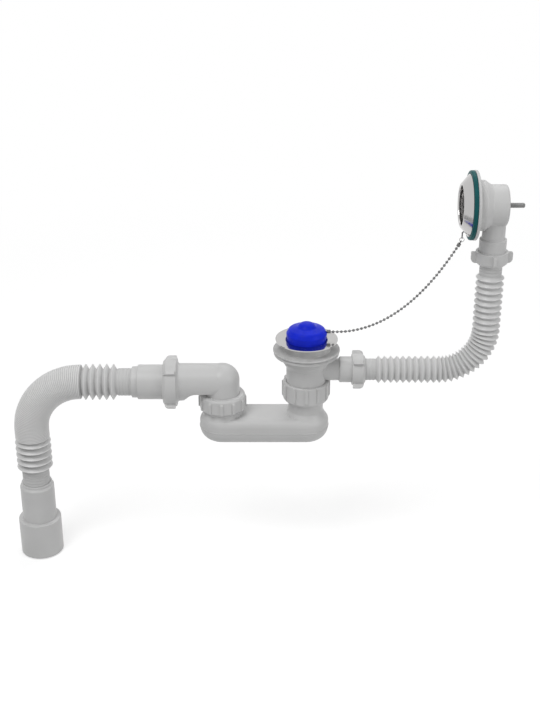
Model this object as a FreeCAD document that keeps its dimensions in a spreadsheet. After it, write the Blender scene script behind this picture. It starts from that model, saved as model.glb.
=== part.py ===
"""Bath waste and overflow set: waste with plug and chain, shallow trap, outlet hose and overflow.

Millimetres, +Z up. The origin is on the axis of the waste, in the underside of its steel flange,
where the bath floor lies. +X points from the waste towards the overflow, which faces -X.
"""

import FreeCAD, Part
import math
import os

import Sketcher
from FreeCAD import Placement, Rotation, Vector

ROOT3 = math.sqrt(3.0)

# Driving sizes, in millimetres unless the name is an angle, a ratio or a count
SIZES = {
    # Pressed stainless steel
    "steel_sheet": 1.2,
    "waste_flange_dia": 70.0,
    "waste_bore_dia": 43.6,
    "waste_lip_round": 3.2,
    "waste_cup_depth": 11.8,
    "strainer_slots": 8,
    "slot_width": 4.6,
    "slot_near": 8.6,
    "slot_far": 18.4,
    "overflow_cup_dia": 44.8,
    "overflow_flange_dia": 66.8,
    "overflow_flange_slope": 0.858,
    "overflow_rim_out": 6.5,
    "overflow_back_out": 3.0,
    "overflow_lip_round": 1.6,
    # Plug
    "plug_rim_dia": 42.9,
    "plug_shoulder_dia": 45.8,
    "plug_height": 24.9,
    "plug_shoulder_height": 12.5,
    "plug_shoulder_top_dia": 40.0,
    "plug_shoulder_top_height": 17.6,
    "plug_neck_dia": 22.0,
    "plug_neck_height": 20.3,
    "plug_crown_dia": 13.6,
    "plug_wall": 4.3,
    "plug_hollow": 12.5,
    "plug_seat_gap": 0.05,
    # Fixing screws and captive nuts
    "screw_dia": 5.8,
    "thread_dia": 5.0,
    "screw_head_dia": 10.0,
    "screw_head_height": 2.0,
    "screw_slot_width": 1.4,
    "screw_slot_depth": 1.0,
    "screw_plain": 27.0,
    "waste_screw_length": 71.7,
    "overflow_screw_length": 57.4,
    "nut_flats": 10.0,
    "waste_nut_height": 7.2,
    "overflow_nut_height": 5.5,
    "screw_room": 0.3,
    "nut_room": 0.1,
    # Waste body
    "wall": 2.4,
    "body_top": 15.3,
    "body_flange_dia": 73.4,
    "body_flange_thick": 2.0,
    "gasket_base_thick": 4.3,
    "gasket_cup_gap": 2.9,
    "gasket_overhang": 0.9,
    "gasket_groove_depth": 2.4,
    "gasket_lip_thick": 1.2,
    "gasket_lip_round": 3.7,
    "gasket_lip_reach": 3.9,
    "body_bowl_dia": 53.0,
    "body_bowl_bottom": 26.0,
    "body_throat_top": 32.7,
    "thread_outer_dia": 45.0,
    "throat_bore_dia": 40.4,
    "boss_top": 35.0,
    "boss_top_dia": 8.6,
    "boss_bottom": 50.6,
    "boss_bottom_dia": 15.2,
    "web_thick": 2.4,
    "web_count": 3,
    "web_tip_dia": 12.6,
    "web_tip_depth": 36.6,
    "web_wall_depth": 27.0,
    # Branch to the overflow, and the same socket on the overflow elbow
    "branch_depth": 37.1,
    "branch_dia": 25.0,
    "branch_bore": 20.4,
    "socket_dia": 29.5,
    "socket_bore": 25.0,
    "socket_step": 38.3,
    "socket_depth": 21.7,
    "small_hose_end_dia": 24.7,
    "small_nut_dia": 35.4,
    "small_nut_lug_dia": 45.2,
    "small_nut_behind": 8.5,
    "small_nut_ahead": 6.6,
    "small_seal_dia": 29.6,
    "lug_count": 4,
    "small_lug_thick": 3.4,
    "slip": 0.15,
    "nut_lip": 1.0,
    "grip_gap": 0.3,
    "seal_gap": 0.05,
    # Trap
    "trap_pitch": 95.5,
    "trap_neck_dia": 39.6,
    "trap_neck_bore": 35.0,
    "trap_width": 52.6,
    "trap_top": 91.2,
    "trap_bottom": 123.5,
    "trap_top_round": 9.0,
    "trap_bottom_round": 16.0,
    "trap_seam_depth": 106.6,
    "trap_seam_out": 0.5,
    "trap_seam_thick": 1.0,
    "neck_skirt_rise": 4.2,
    "inlet_seal_depth": 67.1,
    "outlet_seal_depth": 72.2,
    "outlet_thread_end": 85.5,
    # Screwed unions
    "collar_dia": 44.0,
    "collar_thick": 1.2,
    "union_nut_dia": 52.0,
    "union_rib_dia": 55.0,
    "union_rib_thick": 3.0,
    "union_ribs": 12,
    "union_groove_dia": 48.6,
    "union_inlet_reach": 16.7,
    "union_outlet_reach": 11.3,
    "seal_fin": 1.1,
    "seal_height": 2.9,
    "seal_bore": 33.8,
    "seal_bead_dia": 48.2,
    # Outlet elbow
    "outlet_depth": 53.0,
    "outlet_tube_dia": 43.3,
    "weir_depth": 60.3,
    "weir_ramp_top": 35.5,
    "weir_ramp_slope": 0.764,
    "weir_top_round": 12.0,
    "weir_foot_round": 6.0,
    "weir_below": 0.6,
    "elbow_root_inset": 0.2,
    "elbow_corner_inset": 1.3,
    "elbow_tube_end": 50.5,
    "spigot_thread_dia": 47.2,
    "spigot_length": 11.0,
    "cuff_dia": 39.8,
    "cuff_bore": 35.2,
    "large_nut_dia": 55.4,
    "large_nut_lug_dia": 63.2,
    "large_nut_behind": 10.4,
    "large_nut_ahead": 5.1,
    "large_seal_dia": 46.8,
    "large_lug_thick": 4.0,
    # Outlet hose and its moulded ends
    "cuff_length": 43.0,
    "cuff_collar_dia": 35.8,
    "cuff_collar_length": 6.7,
    "hose_stop": 1.0,
    "outlet_hose_end_dia": 31.6,
    "outlet_hose_peak_dia": 41.4,
    "outlet_hose_valley_dia": 29.2,
    "outlet_hose_wall": 1.7,
    "outlet_hose_end": 25.0,
    "outlet_open_pitch": 7.9,
    "outlet_open_folds": 5,
    "tight_peak_dia": 39.6,
    "tight_valley_dia": 38.0,
    "tight_bore_dia": 32.6,
    "tight_folds": 32,
    "outlet_bend": 60.0,
    "outlet_drop_x": 317.5,
    "outlet_hose_bottom": 190.0,
    "sleeve_length": 43.0,
    "spigot_dia": 50.0,
    "spigot_bore": 45.2,
    "spigot_reach": 45.0,
    # Overflow hose
    "overflow_hose_peak_dia": 31.0,
    "overflow_hose_valley_dia": 23.4,
    "overflow_hose_wall": 1.4,
    "overflow_hose_end": 40.0,
    "overflow_folds": 28,
    "overflow_bend": 50.0,
    "rib_pitch": 4.0,
    "rib_depth": 0.35,
    "end_gap": 0.2,
    # Overflow elbow and gasket
    "overflow_x": 177.5,
    "overflow_height": 156.3,
    "overflow_plate_edge": 0.3,
    "overflow_plate_thick": 1.8,
    "overflow_lip": 1.6,
    "overflow_bowl_dia": 54.2,
    "overflow_bowl_end": 9.5,
    "overflow_tail_dia": 44.8,
    "overflow_tail_start": 16.5,
    "overflow_tail_end": 34.2,
    "overflow_web_top": 10.5,
    "overflow_web_tip": 20.7,
    "down_pipe_x": 22.4,
    "down_pipe_step": 38.0,
    "overflow_nut_start": 27.0,
    "overflow_gasket_edge": 3.7,
    "gasket_gap": 1.85,
    "gasket_bead_edge": 1.8,
    # Ball chain and its fittings
    "ball_dia": 3.2,
    "chain_rod_dia": 0.9,
    "chain_pitch": 4.5,
    "chain_slack": 95.0,
    "stud_height": 14.2,
    "stud_depth": 4.2,
    "stud_stem_dia": 2.4,
    "clasp_dia": 4.2,
    "clasp_length": 4.4,
    "clasp_bore": 3.5,
    "clasp_lean": 27.0,
    "eye_dia": 2.2,
    "eye_wire": 1.0,
    "ring_dia": 5.0,
    "ring_wire": 0.8,
    "hook_hole_edge": 4.0,
    "hook_hole_dia": 1.8,
    "hook_out": 1.9,
    "hook_drop": 4.4,
    "hook_head_dia": 3.0,
    "hook_head_thick": 0.6,
}


class Size:
    """A number together with the sheet formula that it comes from."""

    def __init__(self, number, formula):
        self.number = float(number)
        self.formula = formula

    def __add__(self, other):
        other = sized(other)
        return Size(self.number + other.number, f"({self.formula} + {other.formula})")

    def __radd__(self, other):
        return sized(other) + self

    def __sub__(self, other):
        other = sized(other)
        return Size(self.number - other.number, f"({self.formula} - {other.formula})")

    def __rsub__(self, other):
        return sized(other) - self

    def __mul__(self, other):
        other = sized(other)
        return Size(self.number * other.number, f"({self.formula} * {other.formula})")

    def __rmul__(self, other):
        return sized(other) * self

    def __truediv__(self, other):
        other = sized(other)
        return Size(self.number / other.number, f"({self.formula} / {other.formula})")

    def __neg__(self):
        return sized(0.0) - self


def sized(item):
    """Give a plain number the form of a Size."""
    if isinstance(item, Size):
        return item
    return Size(item, f"({float(item)!r})")


def long_side(across, up):
    """The long side of a right-angled triangle, as a Size."""
    across = sized(across)
    up = sized(up)
    number = math.hypot(across.number, up.number)
    return Size(number, f"sqrt({across.formula} ^ 2 + {up.formula} ^ 2)")


def sine(angle):
    """The sine of an angle in degrees, as a Size."""
    return Size(math.sin(math.radians(angle.number)), f"sin({angle.formula} * 1 deg)")


def cosine(angle):
    """The cosine of an angle in degrees, as a Size."""
    return Size(math.cos(math.radians(angle.number)), f"cos({angle.formula} * 1 deg)")


class SizeSheet:
    """The document's sheet of driving sizes, each read by its own name."""

    def __init__(self, document, sizes):
        sheet = document.addObject("Spreadsheet::Sheet", "Sizes")
        for row, (name, number) in enumerate(sizes.items(), start=1):
            sheet.set(f"A{row}", name)
            sheet.set(f"B{row}", str(number))
            sheet.setAlias(f"B{row}", name)
            setattr(self, name, Size(number, f"Sizes.{name}"))


doc = FreeCAD.newDocument("BathWasteAndOverflow")
S = SizeSheet(doc, SIZES)
doc.recompute()


# Sketches

def origin_feature(body, role):
    """One of a body's own origin planes or axes."""
    for feature in body.Origin.OriginFeatures:
        if feature.Role == role:
            return feature
    raise LookupError(role)


def new_sketch(body, name, plane, at, lift):
    """An empty sketch on one of the body's origin planes, moved to a point of it and lifted off it."""
    sketch = body.newObject("Sketcher::SketchObject", name)
    sketch.AttachmentSupport = [(origin_feature(body, plane), "")]
    sketch.MapMode = "FlatFace"
    for axis, shift in zip("xyz", (at[0], at[1], lift)):
        if sized(shift).number:
            sketch.setExpression(f"AttachmentOffset.Base.{axis}", sized(shift).formula)
    return sketch


def corner_points(corners):
    """Where the straight runs of an outline start and end at each corner, and the corner's arc."""
    spots = [Vector(sized(c[0]).number, sized(c[1]).number, 0) for c in corners]
    points = []
    for index, corner in enumerate(corners):
        spot = spots[index]
        if len(corner) == 2:
            points.append((spot, spot, None, False))
            continue
        radius = sized(corner[2]).number
        back = (spots[index - 1] - spot).normalize()
        onward = (spots[(index + 1) % len(spots)] - spot).normalize()
        half = back.getAngle(onward) / 2.0
        entry = spot + back * (radius / math.tan(half))
        leave = spot + onward * (radius / math.tan(half))
        centre = spot + (back + onward).normalize() * (radius / math.sin(half))
        turns_left = back.cross(onward).z < 0
        first, last = (entry, leave) if turns_left else (leave, entry)
        start = math.atan2(first.y - centre.y, first.x - centre.x)
        end = math.atan2(last.y - centre.y, last.x - centre.x)
        circle = Part.Circle(centre, Vector(0, 0, 1), radius)
        points.append((entry, leave, Part.ArcOfCircle(circle, start, end), turns_left))
    return points


def pin_point(sketch, geometry, vertex, corner, fixed):
    """Constrain one point of a sketch to its two distances from the sketch's origin."""
    for kind, axis, distance in (("DistanceX", -2, corner[0]), ("DistanceY", -1, corner[1])):
        distance = sized(distance)
        if distance.number == 0:
            fixed.append((Sketcher.Constraint("PointOnObject", geometry, vertex, axis), None))
        else:
            limit = Sketcher.Constraint(kind, -1, 1, geometry, vertex, distance.number)
            fixed.append((limit, distance.formula))


def draw_outline(sketch, corners):
    """Draw a closed outline whose corners are (across, up) or (across, up, rounding)."""
    points = corner_points(corners)
    count = len(corners)
    lines = []
    for index in range(count):
        run = Part.LineSegment(points[index][1], points[(index + 1) % count][0])
        lines.append(sketch.addGeometry(run, False))
    fixed = []
    for index, corner in enumerate(corners):
        before = lines[index - 1]
        after = lines[index]
        arc_shape = points[index][2]
        if arc_shape is None:
            fixed.append((Sketcher.Constraint("Coincident", before, 2, after, 1), None))
            pin_point(sketch, after, 1, corner, fixed)
            continue
        arc = sketch.addGeometry(arc_shape, False)
        spot = Vector(sized(corner[0]).number, sized(corner[1]).number, 0)
        mark = sketch.addGeometry(Part.Point(spot), True)
        entry, leave = (1, 2) if points[index][3] else (2, 1)
        fixed.append((Sketcher.Constraint("Tangent", before, 2, arc, entry), None))
        fixed.append((Sketcher.Constraint("Tangent", arc, leave, after, 1), None))
        fixed.append((Sketcher.Constraint("PointOnObject", mark, 1, before), None))
        fixed.append((Sketcher.Constraint("PointOnObject", mark, 1, after), None))
        rounding = sized(corner[2])
        fixed.append((Sketcher.Constraint("Radius", arc, rounding.number), rounding.formula))
        pin_point(sketch, mark, 1, corner, fixed)
    added = sketch.addConstraint([constraint for constraint, formula in fixed])
    for index, (constraint, formula) in zip(added, fixed):
        if formula:
            sketch.setExpression(f"Constraints[{index}]", formula)


def draw_circle(sketch, radius):
    """Draw a circle about the sketch's origin."""
    centre = Vector(0, 0, 0)
    ring = sketch.addGeometry(Part.Circle(centre, Vector(0, 0, 1), radius.number), False)
    sketch.addConstraint(Sketcher.Constraint("Coincident", ring, 3, -1, 1))
    size = sketch.addConstraint(Sketcher.Constraint("Radius", ring, radius.number))
    sketch.setExpression(f"Constraints[{size}]", radius.formula)


def hexagon(across_flats):
    """The corners of a hexagon with two of its corners on the X axis."""
    corner = across_flats / ROOT3
    half = across_flats / 2
    return [
        (corner, 0),
        (corner / 2, half),
        (-corner / 2, half),
        (-corner, 0),
        (-corner / 2, -half),
        (corner / 2, -half),
    ]


# Features

def new_body(label):
    """An empty body whose label names the piece."""
    body = doc.addObject("PartDesign::Body", label)
    body.Label = label
    return body


def revolve(body, name, corners, axis="V_Axis", at=(0, 0), cut=False):
    """Turn an outline in the XZ plane about the upright or the level axis of its sketch."""
    sketch = new_sketch(body, f"{name}_outline", "XZ_Plane", at, 0)
    draw_outline(sketch, corners)
    feature = body.newObject("PartDesign::Groove" if cut else "PartDesign::Revolution", name)
    feature.Profile = sketch
    feature.ReferenceAxis = (sketch, [axis])
    feature.Angle = 360
    return feature


def extrude(body, name, corners, plane, length, lift=0, cut=False, both_ways=False):
    """Give an outline on an origin plane a thickness, to one side of it or to both."""
    sketch = new_sketch(body, f"{name}_outline", plane, (0, 0), lift)
    draw_outline(sketch, corners)
    feature = body.newObject("PartDesign::Pocket" if cut else "PartDesign::Pad", name)
    feature.Profile = sketch
    feature.setExpression("Length", sized(length).formula)
    if both_ways:
        feature.SideType = "Symmetric"
    return feature


def repeat_round(body, name, feature, axis_role, count):
    """Repeat a feature evenly round one of the body's axes."""
    doc.recompute()
    pattern = body.newObject("PartDesign::PolarPattern", name)
    pattern.Originals = [feature]
    pattern.Axis = (origin_feature(body, axis_role), [""])
    pattern.Angle = 360
    pattern.setExpression("Occurrences", sized(count).formula)
    body.Tip = pattern
    return pattern


def place(item, across, up, turn=0.0, roll=0.0):
    """Put an object at a point of the XZ plane, turned about Y after a roll about its own axis."""
    rotation = Rotation(Vector(0, 1, 0), turn).multiply(Rotation(Vector(0, 0, 1), roll))
    item.Placement = Placement(Vector(0, 0, 0), rotation)
    item.setExpression("Placement.Base.x", sized(across).formula)
    item.setExpression("Placement.Base.z", sized(up).formula)


def primitive(kind, label, **sizes):
    """A Part primitive whose named properties are bound to the sheet."""
    item = doc.addObject(f"Part::{kind}", label)
    for name, size in sizes.items():
        item.setExpression(name, sized(size).formula)
    return item


def fuse(label, items):
    """One piece made of several shapes."""
    whole = doc.addObject("Part::MultiFuse", label)
    whole.Shapes = items
    whole.Label = label
    return whole


def cut_away(label, base, tool):
    """One shape less another."""
    rest = doc.addObject("Part::Cut", label)
    rest.Base = base
    rest.Tool = tool
    rest.Label = label
    return rest


# Steel waste cup in the bath floor, and its screw

def make_waste_cup():
    """Flat flange, rolled lip, straight cup and a slotted strainer floor."""
    bore = S.waste_bore_dia / 2
    floor = -S.waste_cup_depth
    hole = S.screw_dia / 2 + S.screw_room
    body = new_body("waste_cup")
    revolve(body, "cup_sheet", [
        (S.waste_flange_dia / 2, 0),
        (S.waste_flange_dia / 2, S.steel_sheet),
        (bore, S.steel_sheet, S.waste_lip_round),
        (bore, floor + S.steel_sheet, 1.0),
        (hole, floor + S.steel_sheet),
        (hole, floor),
        (bore + S.steel_sheet, floor, S.steel_sheet + 1.0),
        (bore + S.steel_sheet, 0, S.waste_lip_round - S.steel_sheet),
    ])
    doc.recompute()
    rounding = S.slot_width * 0.45
    slot = extrude(body, "strainer_slot", [
        (S.slot_near, -S.slot_width / 2, rounding),
        (S.slot_far, -S.slot_width / 2, rounding),
        (S.slot_far, S.slot_width / 2, rounding),
        (S.slot_near, S.slot_width / 2, rounding),
    ], "XY_Plane", S.waste_cup_depth + S.steel_sheet, cut=True)
    repeat_round(body, "strainer_slots", slot, "Z_Axis", S.strainer_slots)
    return body


def make_screw(label, length, across, up, turn):
    """A slotted pan-head screw; its own origin is under the head, with the shank pointing down."""
    head = S.screw_head_dia / 2
    body = new_body(label)
    revolve(body, "shank", [
        (0, S.screw_head_height),
        (head, S.screw_head_height, 0.9),
        (head, 0),
        (S.screw_dia / 2, 0),
        (S.screw_dia / 2, -S.screw_plain),
        (S.thread_dia / 2, -S.screw_plain - 0.4),
        (S.thread_dia / 2, -length + 0.6),
        (S.thread_dia / 2 - 0.6, -length),
        (0, -length),
    ])
    doc.recompute()
    half = S.screw_slot_width / 2
    extrude(body, "driver_slot", [
        (-half, S.screw_head_height - S.screw_slot_depth),
        (half, S.screw_head_height - S.screw_slot_depth),
        (half, S.screw_head_height + 1),
        (-half, S.screw_head_height + 1),
    ], "XZ_Plane", S.screw_head_dia + 2, cut=True, both_ways=True)
    place(body, across, up, turn)
    return body


def make_captive_nut(label, height, across, up, turn):
    """A hexagon nut held in a pocket of its boss, thread drawn plain."""
    body = new_body(label)
    extrude(body, "hexagon", hexagon(S.nut_flats), "XY_Plane", height)
    doc.recompute()
    bore = S.thread_dia / 2 + S.nut_room / 2
    revolve(body, "thread", [(0, -1), (bore, -1), (bore, height + 1), (0, height + 1)], cut=True)
    place(body, across, up, turn)
    return body


# Plug and its stud

def plug_seat_height():
    """How high the plug's rim stands when its taper meets the top of the straight bore."""
    taper = (S.plug_shoulder_dia - S.plug_rim_dia) / (2 * S.plug_shoulder_height)
    play = (S.waste_bore_dia - S.plug_rim_dia) / 2 - S.plug_seat_gap
    bore_top = S.steel_sheet - S.waste_lip_round
    return bore_top - play / taper


def make_plug():
    """Hollow rubber plug: tapered skirt, full shoulder, solid crown and a hole for the stud."""
    rim = S.plug_rim_dia / 2
    hollow = rim - S.plug_wall
    body = new_body("plug")
    revolve(body, "plug_form", [
        (hollow, 0, 0.8),
        (rim, 0, 1.4),
        (S.plug_shoulder_dia / 2, S.plug_shoulder_height, 3.0),
        (S.plug_shoulder_top_dia / 2, S.plug_shoulder_top_height, 4.0),
        (S.plug_neck_dia / 2, S.plug_neck_height, 3.5),
        (S.plug_crown_dia / 2, S.plug_height, 8.0),
        (0, S.plug_height),
        (0, S.plug_hollow),
        (hollow + 0.6, S.plug_hollow, 2.0),
    ])
    doc.recompute()
    start = plug_face_at_stud() - S.stud_depth
    end = S.plug_shoulder_dia / 2 + 1
    hole = S.stud_stem_dia / 2 + S.plug_seat_gap
    revolve(body, "stud_hole", [
        (start, 0), (end, 0), (end, hole), (start, hole),
    ], axis="H_Axis", at=(0, S.stud_height), cut=True)
    place(body, 0, plug_seat_height())
    return body


def plug_face_at_stud():
    """Radius at which the stud's cup stands just clear of the plug's shoulder."""
    return S.plug_shoulder_dia / 2 - 0.3


def make_plug_stud():
    """Stem in the plug, ending in a small cup that holds the first ball of the chain."""
    cup = S.clasp_dia / 2
    depth = S.ball_dia
    body = new_body("plug_chain_stud")
    revolve(body, "stud_form", [
        (0, -S.stud_depth),
        (S.stud_stem_dia / 2, -S.stud_depth, 0.4),
        (S.stud_stem_dia / 2, 0),
        (cup, 0.4, 0.5),
        (cup, 0.9 + depth),
        (S.clasp_bore / 2, 0.9 + depth),
        (S.clasp_bore / 2, 0.9),
        (0, 0.9),
    ])
    place(body, plug_face_at_stud(), plug_seat_height() + S.stud_height, turn=90)
    return body


# Waste body under the bath

def make_waste_gasket():
    """Grooved ring on the body's flange, with a thin lip that curls out under the steel flange."""
    base = -S.body_top
    seat = base + S.gasket_base_thick
    inner = S.waste_bore_dia / 2 + S.steel_sheet + S.gasket_cup_gap
    lip = inner + S.gasket_lip_thick
    rim = S.body_flange_dia / 2
    outer = rim + S.gasket_overhang
    groove = outer - S.gasket_groove_depth
    middle = base + S.gasket_base_thick * 0.42
    body = new_body("waste_gasket")
    revolve(body, "gasket_form", [
        (inner, base),
        (rim, base, 0.4),
        (rim, middle - 0.5),
        (groove, middle),
        (outer, middle + 0.8, 0.3),
        (outer, seat, 0.6),
        (lip, seat, 1.0),
        (lip, -S.gasket_lip_thick, S.gasket_lip_round),
        (lip + S.gasket_lip_reach, -S.gasket_lip_thick),
        (lip + S.gasket_lip_reach, 0),
        (inner, 0, S.gasket_lip_round + S.gasket_lip_thick),
    ])
    return body


def add_web_set(body, corners, axis_role, cavity_name, thick):
    """Flat webs round an axis, joining the screw boss to the wall."""
    web = extrude(body, f"{cavity_name}_web", corners, "XZ_Plane", thick, both_ways=True)
    repeat_round(body, f"{cavity_name}_webs", web, axis_role, S.web_count)


def make_waste_body():
    """Flanged bowl, throat with a male thread, side branch, and a webbed boss for the nut."""
    top = -S.body_top
    flange = S.body_flange_dia / 2
    under = top - S.body_flange_thick
    bowl = S.body_bowl_dia / 2
    thread = S.thread_outer_dia / 2
    end = -S.inlet_seal_depth + S.seal_fin
    body = new_body("waste_body")
    revolve(body, "outer_form", [
        (0, top),
        (flange, top, 0.4),
        (flange, under, 0.8),
        (bowl, under, 1.4),
        (bowl, -S.body_bowl_bottom, 2.0),
        (thread, -S.body_throat_top, 2.0),
        (thread, end, 0.7),
        (0, end),
    ])
    branch = S.branch_dia / 2
    socket = S.socket_dia / 2
    revolve(body, "branch_form", [
        (10, 0),
        (S.socket_step + S.socket_depth, 0),
        (S.socket_step + S.socket_depth, socket, 0.5),
        (S.socket_step - 0.4, socket, 0.5),
        (S.socket_step - 1.8, branch),
        (10, branch),
    ], axis="H_Axis", at=(0, -S.branch_depth))
    doc.recompute()
    bore = S.throat_bore_dia / 2
    wide = bowl - S.wall
    revolve(body, "cavity", [
        (0, top + 1),
        (wide, top + 1),
        (wide, -S.body_bowl_bottom + 0.8, 2.0),
        (bore, -S.body_throat_top + 0.8, 2.0),
        (bore, end - 1),
        (0, end - 1),
    ], cut=True)
    hose_bore = S.socket_bore / 2
    revolve(body, "branch_bore", [
        (12, 0),
        (S.socket_step + S.socket_depth + 1, 0),
        (S.socket_step + S.socket_depth + 1, hose_bore),
        (S.socket_step, hose_bore),
        (S.socket_step, S.branch_bore / 2),
        (12, S.branch_bore / 2),
    ], axis="H_Axis", at=(0, -S.branch_depth), cut=True)
    doc.recompute()
    add_web_set(body, [
        (-bore - 0.8, -S.boss_bottom),
        (-2.0, -S.boss_bottom),
        (-2.0, -S.web_tip_depth + 1.0),
        (-S.web_tip_dia / 2, -S.web_tip_depth),
        (-wide - 0.8, -S.web_wall_depth),
        (-wide - 0.8, -S.body_bowl_bottom - 1.2),
        (-bore - 0.8, -S.body_throat_top - 0.4),
    ], "Z_Axis", "throat", S.web_thick)
    doc.recompute()
    revolve(body, "screw_boss", [
        (0, -S.boss_top),
        (S.boss_top_dia / 2, -S.boss_top, 0.6),
        (S.boss_bottom_dia / 2, -S.boss_bottom, 0.5),
        (0, -S.boss_bottom),
    ])
    doc.recompute()
    hole = S.screw_dia / 2 + S.screw_room
    revolve(body, "screw_hole", [
        (0, -S.boss_top + 1), (hole, -S.boss_top + 1),
        (hole, -S.boss_bottom - 1), (0, -S.boss_bottom - 1),
    ], cut=True)
    doc.recompute()
    extrude(body, "nut_pocket", hexagon(S.nut_flats + S.nut_room * 2), "XY_Plane",
            S.waste_nut_height + 2, lift=S.waste_nut_height - waste_nut_bottom(), cut=True)
    return body


def waste_nut_bottom():
    """Depth of the lower face of the waste's captive nut, just inside the boss."""
    return S.boss_bottom - 0.4


# Screwed unions at the two necks of the trap

def make_union_nut(label, reach, across, up, turn):
    """Ring nut; its own origin is the face of the collar that its lip holds, thread pointing up."""
    groove = S.union_groove_dia / 2
    bore = S.thread_outer_dia / 2 + S.slip
    neck = S.trap_neck_dia / 2 + S.slip
    slope_start = -S.collar_thick - S.slip
    slope = groove - neck
    outer = S.union_nut_dia / 2
    lip = slope_start - slope - 0.4
    body = new_body(label)
    revolve(body, "ring_form", [
        (neck, lip),
        (outer - 1.6, lip, 0.8),
        (outer, lip + 2.2, 1.2),
        (outer, reach, 1.2),
        (bore + 0.5, reach),
        (bore, reach - 0.6),
        (bore, S.seal_height + 1.0),
        (groove, S.seal_height + 0.4),
        (groove, slope_start),
        (neck, slope_start - slope),
    ])
    doc.recompute()
    rib = S.union_rib_dia / 2
    root = outer - 0.6
    grip = extrude(body, "grip_rib", [
        (root, lip + 2.0),
        (rib, lip + 5.0, 2.4),
        (rib, reach - 0.5, 0.5),
        (root, reach - 0.5),
    ], "XZ_Plane", S.union_rib_thick, both_ways=True)
    repeat_round(body, "grip_ribs", grip, "Z_Axis", S.union_ribs)
    place(body, across, up, turn)
    return body


def make_union_seal(label, across, up, turn):
    """Lipped seal: a ring inside the threaded end, a fin under it and a bead in the nut."""
    bore = S.seal_bore / 2
    ring = S.throat_bore_dia / 2 - S.seal_gap
    bead = S.seal_bead_dia / 2
    body = new_body(label)
    revolve(body, "seal_form", [
        (bore, 0, 0.4),
        (S.collar_dia / 2 + 0.6, 0),
        (S.collar_dia / 2 + 0.9, -S.collar_thick * 0.7),
        (bead, -S.collar_thick * 0.9, 0.3),
        (bead, S.seal_height - 0.3, 0.3),
        (S.thread_outer_dia / 2 + 0.4, S.seal_height - 0.9),
        (S.thread_outer_dia / 2 + 0.2, S.seal_fin),
        (ring, S.seal_fin),
        (ring, S.seal_height, 0.3),
        (bore, S.seal_height, 0.6),
    ])
    place(body, across, up, turn)
    return body


# Trap

def make_trap_form(label, inset):
    """The trap's outside, or with an inset of one wall the space inside it."""
    end = S.trap_width / 2 - inset
    top = -S.trap_top - inset
    bottom = -S.trap_bottom + inset
    top_round = S.trap_top_round - inset
    bottom_round = S.trap_bottom_round - inset
    far = -S.trap_pitch
    body = new_body(label)
    for name, centre in (("inlet_end", 0), ("outlet_end", far)):
        revolve(body, name, [
            (0, top),
            (end, top, top_round),
            (end, bottom, bottom_round),
            (0, bottom),
        ], at=(centre, 0))
    doc.recompute()
    middle = extrude(body, "middle", [
        (-end, top, top_round),
        (-end, bottom, bottom_round),
        (end, bottom, bottom_round),
        (end, top, top_round),
    ], "YZ_Plane", S.trap_pitch)
    middle.Reversed = True
    return body


def add_trap_seam(body):
    """The thin ridge round the vessel where the two halves of its mould meet."""
    out = S.trap_width / 2 + S.trap_seam_out
    top = -S.trap_seam_depth + S.trap_seam_thick / 2
    bottom = top - S.trap_seam_thick
    for name, centre in (("inlet_seam", 0), ("outlet_seam", -S.trap_pitch)):
        revolve(body, name, [
            (0, top), (out, top, 0.2), (out, bottom, 0.2), (0, bottom),
        ], at=(centre, 0))
    doc.recompute()
    middle = extrude(body, "middle_seam", [
        (-out, top, 0.2), (-out, bottom, 0.2), (out, bottom, 0.2), (out, top, 0.2),
    ], "YZ_Plane", S.trap_pitch)
    middle.Reversed = True


def make_trap_body():
    """Shallow trap: long flat-topped vessel with a collared inlet and a threaded outlet."""
    outside = make_trap_form("trap_outside", S.wall * 0)
    add_trap_seam(outside)
    neck = S.trap_neck_dia / 2
    collar = S.collar_dia / 2
    thread = S.thread_outer_dia / 2
    inlet = -S.inlet_seal_depth
    outlet = -S.outlet_seal_depth - S.seal_fin
    skirt = -S.trap_top + S.neck_skirt_rise
    shoulder = S.trap_width / 2 - 0.9
    collar_slope = collar - neck
    revolve(outside, "inlet_neck", [
        (0, inlet),
        (collar, inlet, 0.3),
        (collar, inlet - S.collar_thick),
        (neck, inlet - S.collar_thick - collar_slope),
        (neck, skirt, 3.0),
        (shoulder, -S.trap_top - 5.8),
        (0, -S.trap_top - 5.8),
    ])
    revolve(outside, "outlet_neck", [
        (0, outlet),
        (thread, outlet, 0.7),
        (thread, -S.outlet_thread_end, 1.0),
        (neck + 0.4, skirt, 2.0),
        (shoulder, -S.trap_top - 5.8),
        (0, -S.trap_top - 5.8),
    ], at=(-S.trap_pitch, 0))
    doc.recompute()
    inside = make_trap_form("trap_inside", S.wall)
    bore = S.trap_neck_bore / 2
    seat = S.throat_bore_dia / 2
    seat_end = outlet - S.seal_height + S.seal_fin - 0.4
    into = -S.trap_top - S.trap_top_round
    revolve(inside, "inlet_bore", [
        (0, inlet + 1), (bore, inlet + 1), (bore, into), (0, into),
    ])
    revolve(inside, "outlet_bore", [
        (0, outlet + 1),
        (seat, outlet + 1),
        (seat, seat_end),
        (bore, seat_end - 1.5),
        (bore, into),
        (0, into),
    ], at=(-S.trap_pitch, 0))
    doc.recompute()
    return cut_away("trap_body", outside, inside)


# Outlet elbow with its weir

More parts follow.
